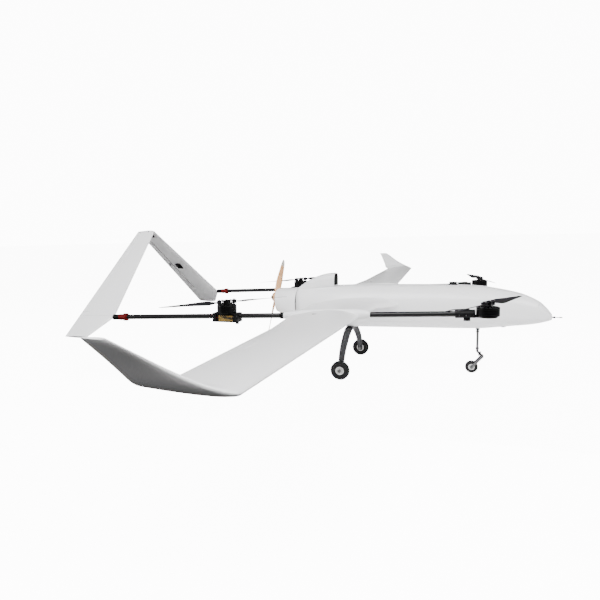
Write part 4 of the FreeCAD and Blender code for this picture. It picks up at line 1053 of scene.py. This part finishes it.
def make_linkage(kind, side, servo_span, servo_x, hinge_x, inward, point_of, horn_height):
    """Servo cover, arm and pushrod on the fixed panel, and the horn on its control surface."""
    panel = {"aileron": "wing_", "ruddervator": "tail_panel_"}[kind] + side_name(side)
    surface = kind + "_" + side_name(side)
    down = Vector((0, inward.y * side, inward.z))
    start = flipped(point_of(servo_span), side) + down * 0.2
    spanwise = Vector((0, -inward.z, inward.y * side)).normalized()
    place, _ = hit(panel, Vector((servo_x - 0.020, start.y, start.z)), -down)
    cover = Build()
    rise = 5.4 if kind == "ruddervator" else 0.6
    u, v = FORE, spanwise
    lid = Vector((servo_x, place.y, place.z)) + down * (rise * MM)
    if u.cross(v).dot(down) < 0:
        v = -v
    size = (31, 46, 3.0) if kind == "ruddervator" else (23.5, 35.5, 1.2)
    cover.block("black_plastic", lid + down * (size[2] / 2 * MM), size, u, v, 0.5)
    for a in (-1, 1):
        for b in (-1, 1):
            corner = lid + u * (0.0092 * a) + v * (0.0152 * b) + down * (1.2 * MM)
            cover.screw("steel", corner, down, 1.3, 0.6)
    shaft = lid + u * (-0.004) + v * 0.009
    cover.turned("black_plastic", [(0, 0.8), (4.2, 0.8), (4.2, 3.4), (3.4, 4.2), (0, 4.2)], shaft, down, 28)
    arm_end = shaft + down * (4.2 * MM + 0.0088) + u * (-0.003)
    arm_root = shaft + down * (3.0 * MM)
    cover.tube("black_plastic", [arm_root, arm_end, arm_end + v * 0.0030], 1.9, 10)
    above_horn = Vector((hinge_x - 0.0085, start.y + v.y * 0.009, start.z + v.z * 0.009))
    horn_place = hit(surface, above_horn, -down)[0]
    tip = horn_place + down * (horn_height * MM)
    rod_end = tip + u * 0.0030 + v * 0.0030
    cover.tube("steel", [arm_end + v * 0.0030, rod_end], 0.9, 10)
    cover.turned("black_plastic", [(0, -1.4), (2.0, -1.4), (2.4, -1.0), (2.4, 1.0), (2.0, 1.4), (0, 1.4)],
                 rod_end, v, 20)
    cover.piece("servo_linkage_" + surface, "airframe")
    horn = Build()
    outline = [(-7.0, -1.0), (2.6, -1.0), (2.4, 1.2), (1.5, horn_height), (0.6, horn_height + 2.0),
               (-1.4, horn_height + 2.0), (-2.6, horn_height)]
    base = horn_place - v * (0.9 * MM if u.cross(down).dot(v) >= 0 else -0.9 * MM)
    horn.plate("black_plastic", outline, base, u, down, 1.8, 0.4)
    for step in (-5.0, 1.0):
        horn.screw("steel", horn_place + u * (step * MM) + v * (2.4 * MM), down, 1.1, 0.7)
    foot = [(-7.5, -4.5), (2.8, -4.5), (2.8, 4.5), (-7.5, 4.5)]
    horn.plate("black_plastic", foot, horn_place - down * (0.2 * MM), u, v,
               1.0 if u.cross(v).dot(down) > 0 else -1.0)
    horn.piece("horn_" + surface, surface)


def make_linkages():
    slope = math.atan2(TAIL_PEAK - TAIL_FOOT, BOOM_OUT)
    tail_inward = Vector((0, -math.sin(slope), -math.cos(slope)))
    wing_down = Vector((0, math.sin(DIHEDRAL), -math.cos(DIHEDRAL)))

    def tail_point(span):
        return Vector((0, span * math.cos(slope), TAIL_PEAK - span * math.sin(slope)))

    def wing_point(span):
        return Vector((0, span * math.cos(DIHEDRAL), WING_ROOT + span * math.sin(DIHEDRAL)))

    for side in (1, -1):
        make_linkage("ruddervator", side, 0.312, -0.9150, -0.9592, tail_inward, tail_point, 12.0)
        make_linkage("aileron", side, 1.043, 0.1500, 0.0990, wing_down, wing_point, 11.0)


def make_pusher_details():
    """Nuts behind, bolt heads in front and a domed nut on the propeller."""
    build = Build()
    centre = joint_place("pusher_spin")
    angle = math.radians(38)
    face = Vector((centre.x - 0.012, 0, centre.z))
    for k in range(6):
        turn = math.pi * k / 3 + angle
        spot = face + Vector((0, math.cos(turn), math.sin(turn))) * 0.014
        build.nut("steel", spot, -FORE, 4.2, 3.6)
        front = Vector((centre.x + 0.012, 0, centre.z)) + Vector((0, math.cos(turn), math.sin(turn))) * 0.014
        build.screw("steel", front, FORE, 3.6, 2.6)
    dome = [(0, 0), (10, 0), (10.6, 1), (10, 6), (8, 9.6), (4.4, 11.6), (0, 12.2)]
    build.turned("red_anodised", dome, face, -FORE, 40)
    build.piece("pusher_bolts", "pusher")


def make_seams():
    """Black seals lying in the gaps along the tail hinges, level with the inner skin."""
    for side in ("left", "right"):
        joint = JOINTS["ruddervator_" + side + "_hinge"]
        middle, axis = Vector(joint["pos_m"]), Vector(joint["axis"]).normalized()
        sign = 1 if side == "left" else -1
        outward = Vector((0, 0.590 * sign, 0.807))
        made = []
        for k in range(-12, 13):
            point = middle + axis * (0.246 * k / 12)
            start = point + FORE * (7 * MM) - outward * 0.1
            found, place = NODES["tail_panel_" + side].ray_cast(start, outward)[:2]
            if found:
                made.append(place - FORE * (4.6 * MM) + outward * (0.5 * MM))
        build = Build()
        build.tube("black_plastic", made, 1.2, 8)
        build.piece("hinge_seal_" + side, "airframe")


def opposite_hand(node, name, body, centre, normal):
    """The node's shape mirrored across a plane, so its blades are pitched the other way."""
    mesh = bmesh.new()
    mesh.from_mesh(NODES[node].data)
    mesh.transform(NODES[node].matrix_world)
    for vert in mesh.verts:
        vert.co -= normal * (2 * (vert.co - centre).dot(normal))
    bmesh.ops.reverse_faces(mesh, faces=mesh.faces)
    build = Build(mesh)
    slot = next(row["material_slot"] for row in frame["record"]["subparts"] if row["node"] == node)
    build.paint(mesh.faces, slot)
    build.piece(name, body, (node,), crease=30)


def make_opposite_blades():
    """Blades of one diagonal pair of lift rotors and of the pusher, pitched for the other way round."""
    for motor in ("front_left", "rear_right"):
        hub = joint_place("rotor_" + motor + "_spin")
        for tag in "ab":
            blade = motor + "_" + tag
            opposite_hand("blade_" + blade, "turned_blade_" + blade, "blade_" + blade, hub, UP)
    opposite_hand("pusher_propeller", "turned_propeller", "pusher", joint_place("pusher_spin"), FORE)


# ---------------------------------------------------------------- the scene
make_camera()
MATERIALS = make_materials()
make_floor()
make_backdrop()
make_bounce_card()
make_world()
make_light("key_light", (0.3, -2.4, 3.2), (0, -0.2, 0.2), (4.0, 2.0), 265)
make_light("nose_light", (3.4, -1.7, 2.6), (0.2, 0, 0.3), (1.8, 1.8), 155)
make_light("tail_light", (-3.6, -1.7, 1.0), (-0.2, 0, 0.3), (1.6, 1.4), 94)
dress_nodes()
for motor in MOTORS:
    make_bell(motor)
make_stators()
make_blade_roots()
make_mount_hardware()
make_speed_controllers()
make_front_leads()
make_boom_details()
make_wheels()
make_axle_details()
make_scoop_net()
make_fuselage_fittings()
make_tail_and_wing_fittings()
make_linkages()
make_pusher_details()
make_seams()
make_opposite_blades()
